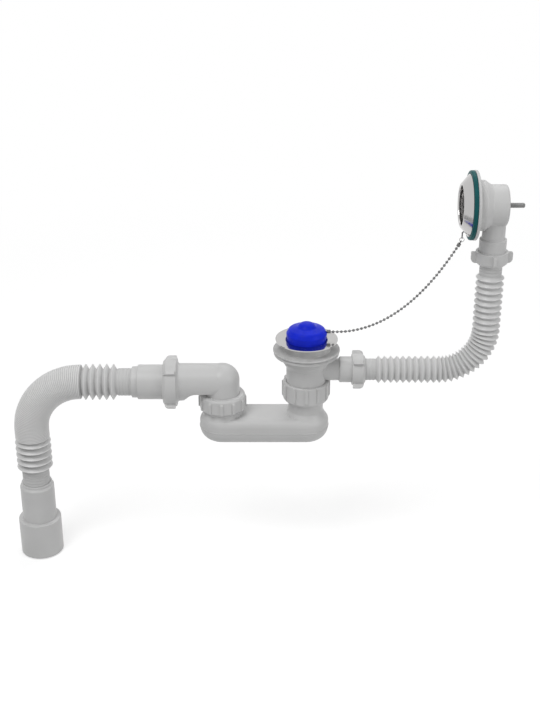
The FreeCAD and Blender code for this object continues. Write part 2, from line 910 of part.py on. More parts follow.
def make_elbow_form(label, inset):
    """The outside of the tube, ball corner and neck, or with an inset the way through them."""
    tube = S.outlet_tube_dia / 2 - inset
    neck = S.trap_neck_dia / 2 - inset
    level = -S.outlet_depth
    crown = level + S.outlet_tube_dia / 2 - inset
    body = new_body(label)
    wide = new_sketch(body, "tube_end", "YZ_Plane", (0, level), -S.elbow_tube_end)
    draw_circle(wide, tube)
    narrow = new_sketch(body, "tube_root", "YZ_Plane", (0, crown - neck), 0)
    draw_circle(narrow, neck - S.elbow_root_inset)
    loft = body.newObject("PartDesign::AdditiveLoft", "tube")
    loft.Profile = wide
    loft.Sections = [narrow]
    loft.Ruled = True
    doc.recompute()
    slope = S.weir_ramp_slope
    floor = -S.weir_depth + inset
    start = -S.weir_ramp_top - inset * (long_side(1.0, slope) - slope)
    sump = level - tube - S.weir_below
    low = sump - S.outlet_tube_dia / 2
    extrude(body, "weir", [
        (S.trap_neck_dia, floor),
        (start, floor, S.weir_top_round),
        (start - (floor - sump) * slope, sump, S.weir_foot_round),
        (-S.elbow_tube_end - S.spigot_length / 2, sump),
        (-S.elbow_tube_end - S.spigot_length / 2, low),
        (S.trap_neck_dia, low),
    ], "XZ_Plane", S.outlet_tube_dia * 1.2, cut=True, both_ways=True)
    doc.recompute()
    return body, tube, neck, level, crown


def make_outlet_elbow():
    """Elbow that carries the trap's outlet over a raised floor into a wide threaded spigot."""
    outside, tube, neck, level, crown = make_elbow_form("elbow_outside", S.wall * 0)
    collar = S.collar_dia / 2
    seat = -S.outlet_seal_depth
    corner_round = neck - S.elbow_corner_inset
    revolve(outside, "corner_and_neck", [
        (0, crown),
        (neck, crown, corner_round),
        (neck, seat + S.collar_thick + (collar - neck)),
        (collar, seat + S.collar_thick),
        (collar, seat, 0.3),
        (0, seat),
    ])
    thread = S.spigot_thread_dia / 2
    mouth = -S.elbow_tube_end - S.spigot_length
    revolve(outside, "spigot", [
        (-S.elbow_tube_end + 2.0, 0),
        (-S.elbow_tube_end + 2.0, tube - 0.4),
        (-S.elbow_tube_end - 0.4, thread, 0.4),
        (mouth, thread, 0.7),
        (mouth, 0),
    ], axis="H_Axis", at=(0, level))
    doc.recompute()
    inside, tube_bore, bore, level, roof = make_elbow_form("elbow_inside", S.wall)
    revolve(inside, "corner_and_neck_bore", [
        (0, roof),
        (bore, roof, bore - S.elbow_corner_inset),
        (bore, seat - 1),
        (0, seat - 1),
    ])
    step = -S.elbow_tube_end - 2.0
    hose = S.cuff_dia / 2 + S.slip
    revolve(inside, "spigot_bore", [
        (-S.elbow_tube_end, 0),
        (-S.elbow_tube_end, tube_bore),
        (step, tube_bore),
        (step, hose),
        (mouth - 1, hose),
        (mouth - 1, 0),
    ], axis="H_Axis", at=(0, level))
    doc.recompute()
    elbow = cut_away("outlet_elbow", outside, inside)
    place(elbow, -S.trap_pitch, 0)
    return elbow


# Hand-tightened lugged nuts and wedge seals for the hose ends

def make_wing_nut(label, thread, outer, lug, grip, behind, ahead, slope, lug_thick,
                  across, up, turn, roll):
    """Nut with four lugs; its own origin is the end face of the socket, hose pointing up."""
    bore = thread / 2 + S.slip
    hold = grip / 2 + S.grip_gap
    rim = outer / 2
    cone_start = ahead - S.nut_lip - (bore - hold)
    body = new_body(label)
    revolve(body, "nut_form", [
        (bore, -behind),
        (rim, -behind, 0.6),
        (rim, ahead - slope, 1.2),
        (rim - slope, ahead, 0.6),
        (hold, ahead),
        (hold, ahead - S.nut_lip),
        (bore, cone_start),
    ])
    doc.recompute()
    root = bore + 0.6
    wing = extrude(body, "lug", [
        (root, -behind + 1.0),
        (lug / 2, -behind + 1.0, 1.2),
        (lug / 2, ahead - 1.6, 5.0),
        (root, ahead - 1.6),
    ], "XZ_Plane", lug_thick, both_ways=True)
    repeat_round(body, "lugs", wing, "Z_Axis", S.lug_count)
    place(body, across, up, turn, roll)
    return body


def make_cone_seal(label, hose, outer, ahead, across, up, turn):
    """Wedge ring squeezed between the socket's end, the nut's cone and the hose."""
    bore = hose / 2 + S.seal_gap
    rim = outer / 2
    length = ahead - S.nut_lip + S.grip_gap - S.seal_gap * 3
    straight = length - (rim - bore)
    body = new_body(label)
    revolve(body, "wedge_form", [
        (bore, 0),
        (rim - 0.4, 0),
        (rim, 0.4),
        (rim, straight, 0.3),
        (bore + 0.3, length - 0.3),
        (bore, length - 0.3),
    ])
    place(body, across, up, turn)
    return body


# Hoses

class BentRoute:
    """A level or upright run, one arc and a second run, all in the XZ plane."""

    def __init__(self, start, heading, first, bend, side, last):
        self.start = start
        self.heading = heading
        self.first = first
        self.bend = bend
        self.side = side
        self.arc = bend * math.pi / 2
        self.length = first + self.arc + last

    def station(self, distance):
        """Position and heading, in degrees from +X towards +Z, at a distance along the route."""
        ahead = self.direction(self.heading)
        if distance <= self.first:
            return self.start + ahead * distance, self.heading
        turn_start = self.start + ahead * self.first
        centre = turn_start + self.direction(self.heading + 90 * self.side) * self.bend
        turned = min(distance - self.first, self.arc) / self.bend
        heading = self.heading + self.side * math.degrees(turned)
        spot = centre - self.direction(heading + 90 * self.side) * self.bend
        rest = max(distance - self.first - self.arc, 0.0)
        return spot + self.direction(heading) * rest, heading

    @staticmethod
    def direction(heading):
        """The unit vector of a heading."""
        angle = math.radians(heading)
        return Vector(math.cos(angle), 0, math.sin(angle))


def ring_on(route, distance, radius):
    """A circle square to the route."""
    spot, heading = route.station(distance)
    circle = Part.Wire(Part.makeCircle(radius))
    circle.Placement = Placement(spot, Rotation(Vector(0, 1, 0), 90 - heading))
    return circle


def blown_tube(route, outside, inside):
    """A thin-walled tube between two lists of rings, each given as (distance, radius)."""
    outer = [ring_on(route, distance, radius) for distance, radius in outside]
    inner = [ring_on(route, distance, radius) for distance, radius in inside]
    faces = Part.makeLoft(outer, False, True).Faces + Part.makeLoft(inner, False, True).Faces
    for end in (0, -1):
        faces.append(Part.makeFace([outer[end], inner[end]], "Part::FaceMakerBullseye"))
    shell = Part.makeShell(faces)
    shell.sewShape()
    solid = Part.makeSolid(shell)
    if solid.Volume < 0:
        solid.reverse()
    return solid


def ribs(start, end, pitch, radius, depth):
    """Rings of a shallow ribbed stretch, from one distance to another."""
    count = max(1, round((end - start) / pitch))
    step = (end - start) / count
    rings = []
    for index in range(count):
        rings.append((start + index * step, radius))
        rings.append((start + (index + 0.5) * step, radius - depth))
    rings.append((end, radius))
    return rings


def folds(start, end, count, peak, valley):
    """Rings of a bellows stretch, which starts and ends in a valley."""
    step = (end - start) / count
    rings = []
    for index in range(count):
        rings.append((start + index * step, valley))
        rings.append((start + (index + 0.5) * step, peak))
    rings.append((end, valley))
    return rings


def thinner(rings, wall):
    """The same rings with their radii less one wall."""
    return [(distance, radius - wall) for distance, radius in rings]


def tube_feature(label, solid):
    """A piece whose shape is worked out from the sheet's sizes above."""
    feature = doc.addObject("Part::Feature", label)
    feature.Label = label
    feature.Shape = solid
    feature.Placement = Placement()
    return feature


def make_overflow_hose():
    """Bellows hose from the branch, along, up through one bend, and into the overflow elbow."""
    wall = S.overflow_hose_wall.number
    end_radius = S.small_hose_end_dia.number / 2
    start_x = S.socket_step.number + S.end_gap.number
    rise_x = S.overflow_x.number + S.down_pipe_x.number
    bend = S.overflow_bend.number
    level = -S.branch_depth.number
    top = S.overflow_height.number - S.down_pipe_step.number - S.end_gap.number
    route = BentRoute(Vector(start_x, 0, level), 0, rise_x - bend - start_x, bend, 1,
                      top - level - bend)
    plain = S.overflow_hose_end.number
    far = route.length - plain
    pitch = S.rib_pitch.number
    depth = S.rib_depth.number
    count = int(S.overflow_folds.number)
    peak = S.overflow_hose_peak_dia.number / 2
    valley = S.overflow_hose_valley_dia.number / 2
    middle = folds(plain, far, count, peak, valley)
    outside = ribs(0, plain - pitch / 2, pitch, end_radius, depth) + middle
    outside += ribs(far + pitch / 2, route.length, pitch, end_radius, depth)
    bore = valley - wall
    inside = [(0, bore)] + thinner(middle, wall) + [(route.length, bore)]
    return tube_feature("overflow_hose", blown_tube(route, outside, inside))


def make_outlet_hose():
    """Flexible outlet: open bellows at both ends and folds pressed shut through the bend."""
    wall = S.outlet_hose_wall.number
    end_radius = S.outlet_hose_end_dia.number / 2
    start_x = -outlet_collar_x().number + S.hose_stop.number
    bend = S.outlet_bend.number
    level = -S.outlet_depth.number
    drop_x = -S.outlet_drop_x.number
    bottom = -S.outlet_hose_bottom.number
    route = BentRoute(Vector(start_x, 0, level), 180, start_x - drop_x - bend, bend, 1,
                      level - bend - bottom)
    plain = S.outlet_hose_end.number
    open_length = S.outlet_open_pitch.number * S.outlet_open_folds.number
    open_count = int(S.outlet_open_folds.number)
    tight_start = plain + open_length
    tight_end = route.length - plain - open_length
    peak = S.outlet_hose_peak_dia.number / 2
    valley = S.outlet_hose_valley_dia.number / 2
    pitch = S.rib_pitch.number
    depth = S.rib_depth.number
    first_open = folds(plain, tight_start, open_count, peak, valley)
    last_open = folds(tight_end, route.length - plain, open_count, peak, valley)
    tight_count = int(S.tight_folds.number)
    tight = folds(tight_start + 1.5, tight_end - 1.5, tight_count,
                  S.tight_peak_dia.number / 2, S.tight_valley_dia.number / 2)
    outside = ribs(0, plain - pitch / 2, pitch, end_radius, depth) + first_open + tight
    outside += last_open + ribs(route.length - plain + pitch / 2, route.length, pitch,
                                end_radius, depth)
    tight_bore = folds(tight_start + 1.5, tight_end - 1.5, tight_count // 2,
                       S.tight_bore_dia.number / 2, S.tight_bore_dia.number / 2)
    bore = valley - wall
    inside = [(0, bore)] + thinner(first_open, wall) + tight_bore
    inside += thinner(last_open, wall) + [(route.length, bore)]
    return tube_feature("outlet_hose", blown_tube(route, outside, inside))


def outlet_cuff_x():
    """How far from the waste the cuff's end stands, just inside the elbow's spigot."""
    return S.trap_pitch + S.elbow_tube_end + 2.0 + S.end_gap


def outlet_collar_x():
    """How far from the waste the cuff ends and its hose collar starts."""
    return outlet_cuff_x() + S.cuff_length


def make_outlet_cuff():
    """Smooth moulded cuff that slides into the elbow, with a collar over the hose's end."""
    end = outlet_cuff_x()
    shoulder = outlet_collar_x()
    hose = S.outlet_hose_end_dia / 2 + S.slip
    body = new_body("outlet_cuff")
    revolve(body, "cuff_form", [
        (-end, S.cuff_bore / 2),
        (-end, S.cuff_dia / 2, 0.8),
        (-shoulder, S.cuff_dia / 2, 0.8),
        (-shoulder, S.cuff_collar_dia / 2),
        (-shoulder - S.cuff_collar_length, S.cuff_collar_dia / 2, 0.6),
        (-shoulder - S.cuff_collar_length, hose),
        (-shoulder + S.hose_stop, hose),
        (-shoulder + S.hose_stop, hose - 2.2),
        (-shoulder + 3.4, hose - 2.2),
        (-shoulder + 6.0, S.cuff_bore / 2),
    ], axis="H_Axis")
    place(body, 0, -S.outlet_depth)
    return body


def make_outlet_adaptor():
    """Collar over the hose's lower end, 40 mm sleeve and the 50 mm spigot for the waste pipe."""
    hose = S.outlet_hose_end_dia / 2 + S.slip
    sleeve = S.cuff_dia / 2
    spigot = S.spigot_dia / 2
    collar = S.cuff_collar_length
    body = new_body("outlet_adaptor")
    revolve(body, "adaptor_form", [
        (hose, collar),
        (S.cuff_collar_dia / 2, collar, 0.6),
        (S.cuff_collar_dia / 2, 3.6),
        (sleeve, 1.4, 0.8),
        (sleeve, -S.sleeve_length + S.hose_stop),
        (spigot, -S.sleeve_length + S.hose_stop, 1.0),
        (spigot, -S.sleeve_length - S.spigot_reach + S.hose_stop, 0.5),
        (S.spigot_bore / 2, -S.sleeve_length - S.spigot_reach + S.hose_stop),
        (S.spigot_bore / 2, -S.sleeve_length - S.wall + S.hose_stop, 0.6),
        (S.cuff_bore / 2, -S.sleeve_length - S.wall + S.hose_stop),
        (S.cuff_bore / 2, -5.0),
        (hose - 2.2, -2.4),
        (hose - 2.2, 0),
        (hose, 0),
    ])
    place(body, -S.outlet_drop_x, -S.outlet_hose_bottom)
    return body


# Overflow

def overflow_lip_x():
    """Where the straight slope of the flange would meet the inside of the cup."""
    rise = S.overflow_flange_dia / 2 - S.overflow_cup_dia / 2 + S.steel_sheet
    return -S.overflow_rim_out - rise * S.overflow_flange_slope


def overflow_slope_shift():
    """Level distance between the front and the back of the sloping sheet."""
    return S.steel_sheet * long_side(1.0, S.overflow_flange_slope)


def overflow_plate_radius():
    """Outside radius of the plate behind the gasket."""
    return S.overflow_flange_dia / 2 + S.overflow_gasket_edge + S.overflow_plate_edge


def make_overflow_cup():
    """Pressed cup in the bath's end wall, with a sloping flange and a slotted back."""
    outer = S.overflow_cup_dia / 2
    inner = outer - S.steel_sheet
    rim = S.overflow_flange_dia / 2
    back = -S.overflow_back_out
    front = overflow_lip_x()
    shift = overflow_slope_shift()
    slope = S.overflow_flange_slope
    hole = S.screw_dia / 2 + S.screw_room
    body = new_body("overflow_cup_sheet")
    revolve(body, "cup_sheet", [
        (back, hole),
        (back, outer, S.steel_sheet + 0.8),
        (front + S.steel_sheet * slope + shift, outer, 0.8),
        (-S.overflow_rim_out + shift - 0.6 * slope, rim - 0.6),
        (-S.overflow_rim_out, rim),
        (front, inner, S.overflow_lip_round),
        (back - S.steel_sheet, inner, 0.8),
        (back - S.steel_sheet, hole),
    ], axis="H_Axis")
    doc.recompute()
    rounding = S.slot_width * 0.45
    slot = extrude(body, "strainer_slot", [
        (S.slot_width / 2, S.slot_near, rounding),
        (-S.slot_width / 2, S.slot_near, rounding),
        (-S.slot_width / 2, S.slot_far, rounding),
        (S.slot_width / 2, S.slot_far, rounding),
    ], "YZ_Plane", S.overflow_back_out + S.steel_sheet + 1, cut=True)
    repeat_round(body, "strainer_slots", slot, "X_Axis", S.strainer_slots)
    place(body, S.overflow_x, S.overflow_height)
    drill = primitive("Cylinder", "hook_hole", Radius=S.hook_hole_dia / 2, Height=8.0)
    across, up = hook_point(-4.0)
    place(drill, across, up, hook_turn())
    return cut_away("overflow_cup", body, drill)


def hook_turn():
    """Angle of the hook's stem: square to the sloping sheet at the foot of the flange."""
    return -(90.0 + math.degrees(math.atan(SIZES["overflow_flange_slope"])))


def hook_point(out):
    """The point that lies a distance out along the hook's stem from the front of the sheet."""
    slope = S.overflow_flange_slope
    out = sized(out)
    stretch = long_side(1.0, slope)
    reach = S.overflow_flange_dia / 2 - S.hook_hole_edge
    across = S.overflow_x - S.overflow_rim_out - S.hook_hole_edge * slope - out / stretch
    up = S.overflow_height - reach - out * slope / stretch
    return across, up


def make_overflow_gasket():
    """Wedge-shaped seal behind the sloping flange, with a bead that meets the flange's rim."""
    slope = S.overflow_flange_slope
    shift = overflow_slope_shift()
    inner = S.overflow_cup_dia / 2 + 0.3
    front = overflow_lip_x()
    sheet_inner = S.overflow_cup_dia / 2 - S.steel_sheet
    rim = S.overflow_flange_dia / 2
    outer = rim + S.overflow_gasket_edge
    bead = rim - S.gasket_bead_edge
    plate_inner = overflow_plate_radius() - 1.4 - S.slip

    def sheet_back(radius):
        """Place of the back of the sloping sheet at a radius."""
        return front + (radius - sheet_inner) * slope + shift

    body = new_body("overflow_gasket")
    revolve(body, "wedge_form", [
        (0, inner + 1.9),
        (0, plate_inner, 0.5),
        (-S.overflow_lip - 0.3, plate_inner),
        (-S.overflow_lip - 0.3, outer, 0.9),
        (-S.overflow_rim_out + 0.3, outer, 1.6),
        (-S.overflow_rim_out + 0.3, rim + 0.3),
        (sheet_back(rim), rim),
        (sheet_back(bead), bead),
        (sheet_back(bead) + S.gasket_gap, bead - 0.3),
        (sheet_back(inner + 0.8) + S.gasket_gap, inner + 0.8, 0.4),
        (sheet_back(inner + 0.8) + S.gasket_gap + 1.4, inner),
        (-S.overflow_back_out, inner),
    ], axis="H_Axis")
    place(body, S.overflow_x, S.overflow_height)
    return body


def make_overflow_elbow():
    """Flange plate, bowl, webbed boss for the nut, and the down pipe with its socket."""
    plate = overflow_plate_radius()
    bowl = S.overflow_bowl_dia / 2
    tail = S.overflow_tail_dia / 2
    end = S.overflow_tail_end
    body = new_body("overflow_elbow")
    revolve(body, "outer_form", [
        (-S.overflow_lip, 0),
        (-S.overflow_lip, plate, 0.6),
        (S.overflow_plate_thick, plate, 1.4),
        (S.overflow_plate_thick, bowl, 0.8),
        (S.overflow_bowl_end, bowl, 3.0),
        (S.overflow_tail_start, tail, 3.0),
        (end, tail, 3.0),
        (end, 0),
    ], axis="H_Axis")
    pipe = S.branch_dia / 2
    socket = S.socket_dia / 2
    step = -S.down_pipe_step
    mouth = step - S.socket_depth
    revolve(body, "pipe_form", [
        (0, 0),
        (pipe, 0),
        (pipe, step + 1.8),
        (socket, step + 0.4, 0.5),
        (socket, mouth, 0.5),
        (0, mouth),
    ], at=(S.down_pipe_x, 0))
    doc.recompute()
    wide = bowl - S.wall
    narrow = tail - S.wall
    revolve(body, "cavity", [
        (0, 0),
        (0, wide),
        (S.overflow_bowl_end - 0.9, wide, 2.0),
        (S.overflow_tail_start - 0.9, narrow, 2.0),
        (end - S.wall, narrow, 1.2),
        (end - S.wall, 0),
    ], axis="H_Axis", cut=True)
    recess = plate - 1.4
    revolve(body, "gasket_recess", [
        (-S.overflow_lip - 1, 0),
        (-S.overflow_lip - 1, recess),
        (0, recess),
        (0, 0),
    ], axis="H_Axis", cut=True)
    hose = S.socket_bore / 2
    revolve(body, "pipe_bore", [
        (0, -12),
        (S.branch_bore / 2, -12),
        (S.branch_bore / 2, step),
        (hose, step),
        (hose, mouth - 1),
        (0, mouth - 1),
    ], at=(S.down_pipe_x, 0), cut=True)
    doc.recompute()
    boss = S.boss_top_dia / 2 + 1.2
    add_web_set(body, [
        (S.overflow_web_top, wide + 0.8),
        (S.overflow_web_tip, S.web_tip_dia / 2),
        (S.overflow_web_tip, 3.5),
        (end - S.wall + 0.6, 3.5),
        (end - S.wall + 0.6, narrow - 2.5),
        (end - S.wall - 2.5, narrow + 0.6),
        (S.overflow_tail_start, narrow + 0.6),
        (S.overflow_bowl_end, wide + 0.8),
    ], "X_Axis", "bowl", S.web_thick)
    doc.recompute()
    revolve(body, "screw_boss", [
        (S.overflow_web_tip - 0.8, 0),
        (S.overflow_web_tip - 0.8, boss, 0.6),
        (end, boss + 1.6),
        (end, 0),
    ], axis="H_Axis")
    doc.recompute()
    hole = S.screw_dia / 2 + S.screw_room
    revolve(body, "screw_hole", [
        (S.overflow_web_tip - 2, 0),
        (S.overflow_web_tip - 2, hole),
        (end + 1, hole),
        (end + 1, 0),
    ], axis="H_Axis", cut=True)
    doc.recompute()
    pocket = extrude(body, "nut_pocket", turned_hexagon(S.nut_flats + S.nut_room * 2), "YZ_Plane",
                     end + 1 - S.overflow_nut_start, lift=S.overflow_nut_start, cut=True)
    pocket.Reversed = True
    place(body, S.overflow_x, S.overflow_height)
    return body


def turned_hexagon(across_flats):
    """The corners of a hexagon with two of its corners on the upright axis."""
    return [(up, across) for across, up in reversed(hexagon(across_flats))]


# Chain from the plug to the foot of the overflow flange

def make_hook():
    """Wire hook through the flange's hole, with a head behind it and an eye that hangs down."""
    stem = S.hook_hole_dia / 2 - 0.15
    shift = S.steel_sheet + S.hook_head_thick + S.seal_gap
    head_at = hook_point(-shift)
    turn = hook_turn()
    head = primitive("Cylinder", "hook_head", Radius=S.hook_head_dia / 2, Height=S.hook_head_thick)
    place(head, head_at[0], head_at[1], turn)
    stem_rod = primitive("Cylinder", "hook_stem", Radius=stem, Height=shift + S.hook_out)
    place(stem_rod, head_at[0], head_at[1], turn)
    elbow_at = hook_point(S.hook_out)
    elbow = primitive("Sphere", "hook_corner", Radius=stem)
    place(elbow, elbow_at[0], elbow_at[1])
    drop = primitive("Cylinder", "hook_leg", Radius=stem, Height=S.hook_drop)
    place(drop, elbow_at[0], elbow_at[1] - S.hook_drop)
    eye = primitive("Torus", "hook_eye", Radius1=S.eye_dia / 2, Radius2=S.eye_wire / 2)
    place(eye, elbow_at[0], elbow_at[1] - S.hook_drop - S.eye_dia / 2 + 0.1, turn=90)
    return fuse("chain_hook", [head, stem_rod, elbow, drop, eye])


def ring_centre():
    """Centre of the split ring, which hangs from the middle of the hook's eye."""
    across, up = hook_point(S.hook_out)
    return across, up - S.hook_drop - S.eye_dia / 2 + 0.1 - S.ring_dia / 2


def make_split_ring():
    """Wire ring between the hook and the clasp."""
    ring = primitive("Torus", "split_ring", Radius1=S.ring_dia / 2, Radius2=S.ring_wire / 2)
    across, up = ring_centre()
    rotation = Rotation(Vector(1, 0, 0), 90)
    ring.Placement = Placement(Vector(0, 0, 0), rotation)
    ring.setExpression("Placement.Base.x", across.formula)
    ring.setExpression("Placement.Base.z", up.formula)
    return ring


def clasp_end(reach):
    """A point on the clasp's axis, at a distance from the centre of the split ring."""
    across, up = ring_centre()
    return across - sine(S.clasp_lean) * reach, up - cosine(S.clasp_lean) * reach


def clasp_reach():
    """From the centre of the split ring to the open end of the clasp."""
    return S.ring_dia / 2 + S.eye_dia / 2 - 0.2 + 0.8 + S.clasp_length


def make_clasp():
    """Small barrel that holds the last ball, with an eye on the split ring."""
    barrel = S.clasp_dia / 2 - 0.1
    neck = S.eye_wire / 2
    body = new_body("clasp_barrel")
    revolve(body, "barrel_form", [
        (0, S.clasp_length - 1.0),
        (S.clasp_bore / 2, S.clasp_length - 1.0),
        (S.clasp_bore / 2, 0),
        (barrel, 0),
        (barrel, S.clasp_length - 0.6, 0.5),
        (neck + 0.3, S.clasp_length),
        (neck, S.clasp_length + 1.0),
        (0, S.clasp_length + 1.0),
    ])
    across, up = clasp_end(clasp_reach())
    place(body, across, up, SIZES["clasp_lean"])
    eye = primitive("Torus", "clasp_eye", Radius1=S.eye_dia / 2, Radius2=S.eye_wire / 2)
    across, up = clasp_end(S.ring_dia / 2)
    place(eye, across, up, SIZES["clasp_lean"] + 90)
    return fuse("chain_clasp", [body, eye])


def make_chain():
    """Ball chain that hangs in a catenary from the clasp to the stud on the plug."""
    first_x = plug_face_at_stud().number + 0.9 + S.ball_dia.number / 2 + 0.1
    first_z = (plug_seat_height() + S.stud_height).number
    last = clasp_end(clasp_reach() - S.ball_dia / 2)
    span = last[0].number - first_x
    rise = last[1].number - first_z
    slack = S.chain_slack.number
    stretch = 2 * slack * math.sinh(span / (2 * slack))
    low_x = (first_x + last[0].number) / 2 - slack * math.asinh(rise / stretch)
    low_z = first_z - slack * (math.cosh((first_x - low_x) / slack) - 1)
    arc_start = slack * math.sinh((first_x - low_x) / slack)
    arc_length = math.hypot(stretch, rise)
    count = round(arc_length / S.chain_pitch.number)
    pitch = arc_length / count
    ball = S.ball_dia.number / 2
    rod = S.chain_rod_dia.number / 2
    neck = math.sqrt(ball * ball - rod * rod)
    rings = []
    for index in range(count + 1):
        for along, radius in ((-neck, rod), (-ball * 0.6, ball * 0.8), (0, ball),
                              (ball * 0.6, ball * 0.8), (neck, rod)):
            rings.append((index * pitch + along, radius))
    wires = []
    for distance, radius in rings:
        angle = math.asinh((arc_start + distance) / slack)
        spot = Vector(low_x + slack * angle, 0, low_z + slack * (math.cosh(angle) - 1))
        heading = math.degrees(math.atan(math.sinh(angle)))
        circle = Part.Wire(Part.makeCircle(radius))
        circle.Placement = Placement(spot, Rotation(Vector(0, 1, 0), 90 - heading))
        wires.append(circle)
    return tube_feature("ball_chain", Part.makeLoft(wires, True, True))


# The whole set, from the plug down and round to the overflow

def make_all():
    """Build every piece and return them in order."""
    branch_end = S.socket_step + S.socket_depth
    pipe_x = S.overflow_x + S.down_pipe_x
    pipe_end = S.overflow_height - S.down_pipe_step - S.socket_depth
    outlet_end = -S.trap_pitch - S.elbow_tube_end - S.spigot_length
    small = (S.socket_dia, S.small_nut_dia, S.small_nut_lug_dia, S.small_hose_end_dia,
             S.small_nut_behind, S.small_nut_ahead, sized(3.0), S.small_lug_thick)
    large = (S.spigot_thread_dia, S.large_nut_dia, S.large_nut_lug_dia, S.cuff_dia,
             S.large_nut_behind, S.large_nut_ahead, sized(3.4), S.large_lug_thick)
    small_seal = (S.small_hose_end_dia, S.small_seal_dia, S.small_nut_ahead)
    cup_floor = -S.waste_cup_depth + S.steel_sheet
    cup_back = S.overflow_x - S.overflow_back_out - S.steel_sheet
    nut_x = S.overflow_x + S.overflow_nut_start + S.overflow_nut_height
    return [
        make_plug(),
        make_plug_stud(),
        make_chain(),
        make_clasp(),
        make_split_ring(),
        make_hook(),
        make_waste_cup(),
        make_screw("waste_screw", S.waste_screw_length, 0, cup_floor, 0),
        make_captive_nut("waste_captive_nut", S.waste_nut_height, 0, -waste_nut_bottom(), 0),
        make_waste_gasket(),
        make_waste_body(),
        make_union_nut("waste_union_nut", S.union_inlet_reach, 0, -S.inlet_seal_depth, 0),
        make_union_seal("waste_union_seal", 0, -S.inlet_seal_depth, 0),
        make_trap_body(),
        make_union_nut("outlet_union_nut", S.union_outlet_reach,
                       -S.trap_pitch, -S.outlet_seal_depth, 180),
        make_union_seal("outlet_union_seal", -S.trap_pitch, -S.outlet_seal_depth, 180),
        make_outlet_elbow(),
        make_wing_nut("outlet_wing_nut", *large, outlet_end, -S.outlet_depth, -90, 45),
        make_cone_seal("outlet_cone_seal", S.cuff_dia, S.large_seal_dia, S.large_nut_ahead,
                       outlet_end, -S.outlet_depth, -90),
        make_outlet_cuff(),
        make_outlet_hose(),
        make_outlet_adaptor(),
        make_wing_nut("branch_wing_nut", *small, branch_end, -S.branch_depth, 90, 45),
        make_cone_seal("branch_cone_seal", *small_seal, branch_end, -S.branch_depth, 90),
        make_overflow_hose(),
        make_wing_nut("overflow_wing_nut", *small, pipe_x, pipe_end, 180, 0),
        make_cone_seal("overflow_cone_seal", *small_seal, pipe_x, pipe_end, 180),
        make_overflow_elbow(),
        make_overflow_gasket(),
        make_overflow_cup(),
        make_screw("overflow_screw", S.overflow_screw_length, cup_back, S.overflow_height, -90),
        make_captive_nut("overflow_captive_nut", S.overflow_nut_height,
                         nut_x, S.overflow_height, -90),
    ]


def check_document(pieces):
    """Stop if any object failed or any piece has no sound shape."""
    for item in doc.Objects:
        if "Invalid" in item.State or "Error" in item.State:
            raise RuntimeError(f"{item.Label} is {item.State}")
    for piece in pieces:
        if piece.Shape.isNull() or not piece.Shape.isValid():
            raise RuntimeError(f"{piece.Label} has no valid shape")
        if not piece.Shape.Solids:
            raise RuntimeError(f"{piece.Label} has no solid")


pieces = make_all()
doc.recompute()
check_document(pieces)
os.makedirs("parts", exist_ok=True)
for piece in pieces:
    piece.Shape.exportStep(f"parts/{piece.Label}.step")
print(len(pieces), "pieces written")
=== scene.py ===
import math

import bpy
from bpy.props import FloatProperty, FloatVectorProperty, IntProperty, PointerProperty
from bpy.types import Operator, Panel, PropertyGroup
from mathutils import Matrix, Vector


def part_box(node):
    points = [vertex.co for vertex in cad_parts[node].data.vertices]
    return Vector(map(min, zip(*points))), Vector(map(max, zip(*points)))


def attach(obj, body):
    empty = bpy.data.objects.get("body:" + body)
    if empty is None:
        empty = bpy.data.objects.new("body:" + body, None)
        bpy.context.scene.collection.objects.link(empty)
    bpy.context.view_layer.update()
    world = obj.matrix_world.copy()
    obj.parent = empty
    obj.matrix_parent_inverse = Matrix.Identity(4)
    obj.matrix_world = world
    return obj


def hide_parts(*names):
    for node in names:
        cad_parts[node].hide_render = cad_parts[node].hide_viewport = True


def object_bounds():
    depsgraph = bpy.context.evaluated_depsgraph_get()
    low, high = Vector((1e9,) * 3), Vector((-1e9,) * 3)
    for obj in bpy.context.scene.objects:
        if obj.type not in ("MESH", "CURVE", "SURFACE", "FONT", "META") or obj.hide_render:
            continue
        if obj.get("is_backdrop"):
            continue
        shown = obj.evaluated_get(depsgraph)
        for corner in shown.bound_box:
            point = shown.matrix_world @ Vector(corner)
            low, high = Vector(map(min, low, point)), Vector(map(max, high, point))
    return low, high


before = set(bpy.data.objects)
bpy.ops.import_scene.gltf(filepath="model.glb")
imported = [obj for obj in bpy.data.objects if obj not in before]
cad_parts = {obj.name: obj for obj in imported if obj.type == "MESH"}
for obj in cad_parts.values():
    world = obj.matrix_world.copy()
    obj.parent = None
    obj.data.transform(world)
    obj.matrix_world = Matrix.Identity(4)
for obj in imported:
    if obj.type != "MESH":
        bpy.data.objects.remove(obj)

bl_info = {
    "name": "Bath waste and overflow",
    "version": (1, 0, 0),
    "blender": (4, 5, 0),
    "location": "3D View > Sidebar > Bath waste",
    "description": "Hoses, chain, threads, finishes and studio for a bath waste and overflow",
    "category": "Object",
}

PLASTIC_MOULDINGS = (
    "waste_body", "waste_union_nut", "outlet_union_nut", "outlet_elbow", "outlet_wing_nut",
    "outlet_cuff", "outlet_adaptor", "branch_wing_nut", "overflow_wing_nut", "overflow_elbow",
)
TEAL_SEALS = (
    "waste_union_seal", "outlet_union_seal", "outlet_cone_seal", "branch_cone_seal",
    "overflow_cone_seal", "overflow_gasket",
)
FIXINGS = ("waste_screw", "waste_captive_nut", "overflow_screw", "overflow_captive_nut")
SMALL_FITTINGS = ("plug_chain_stud", "chain_clasp", "chain_hook")

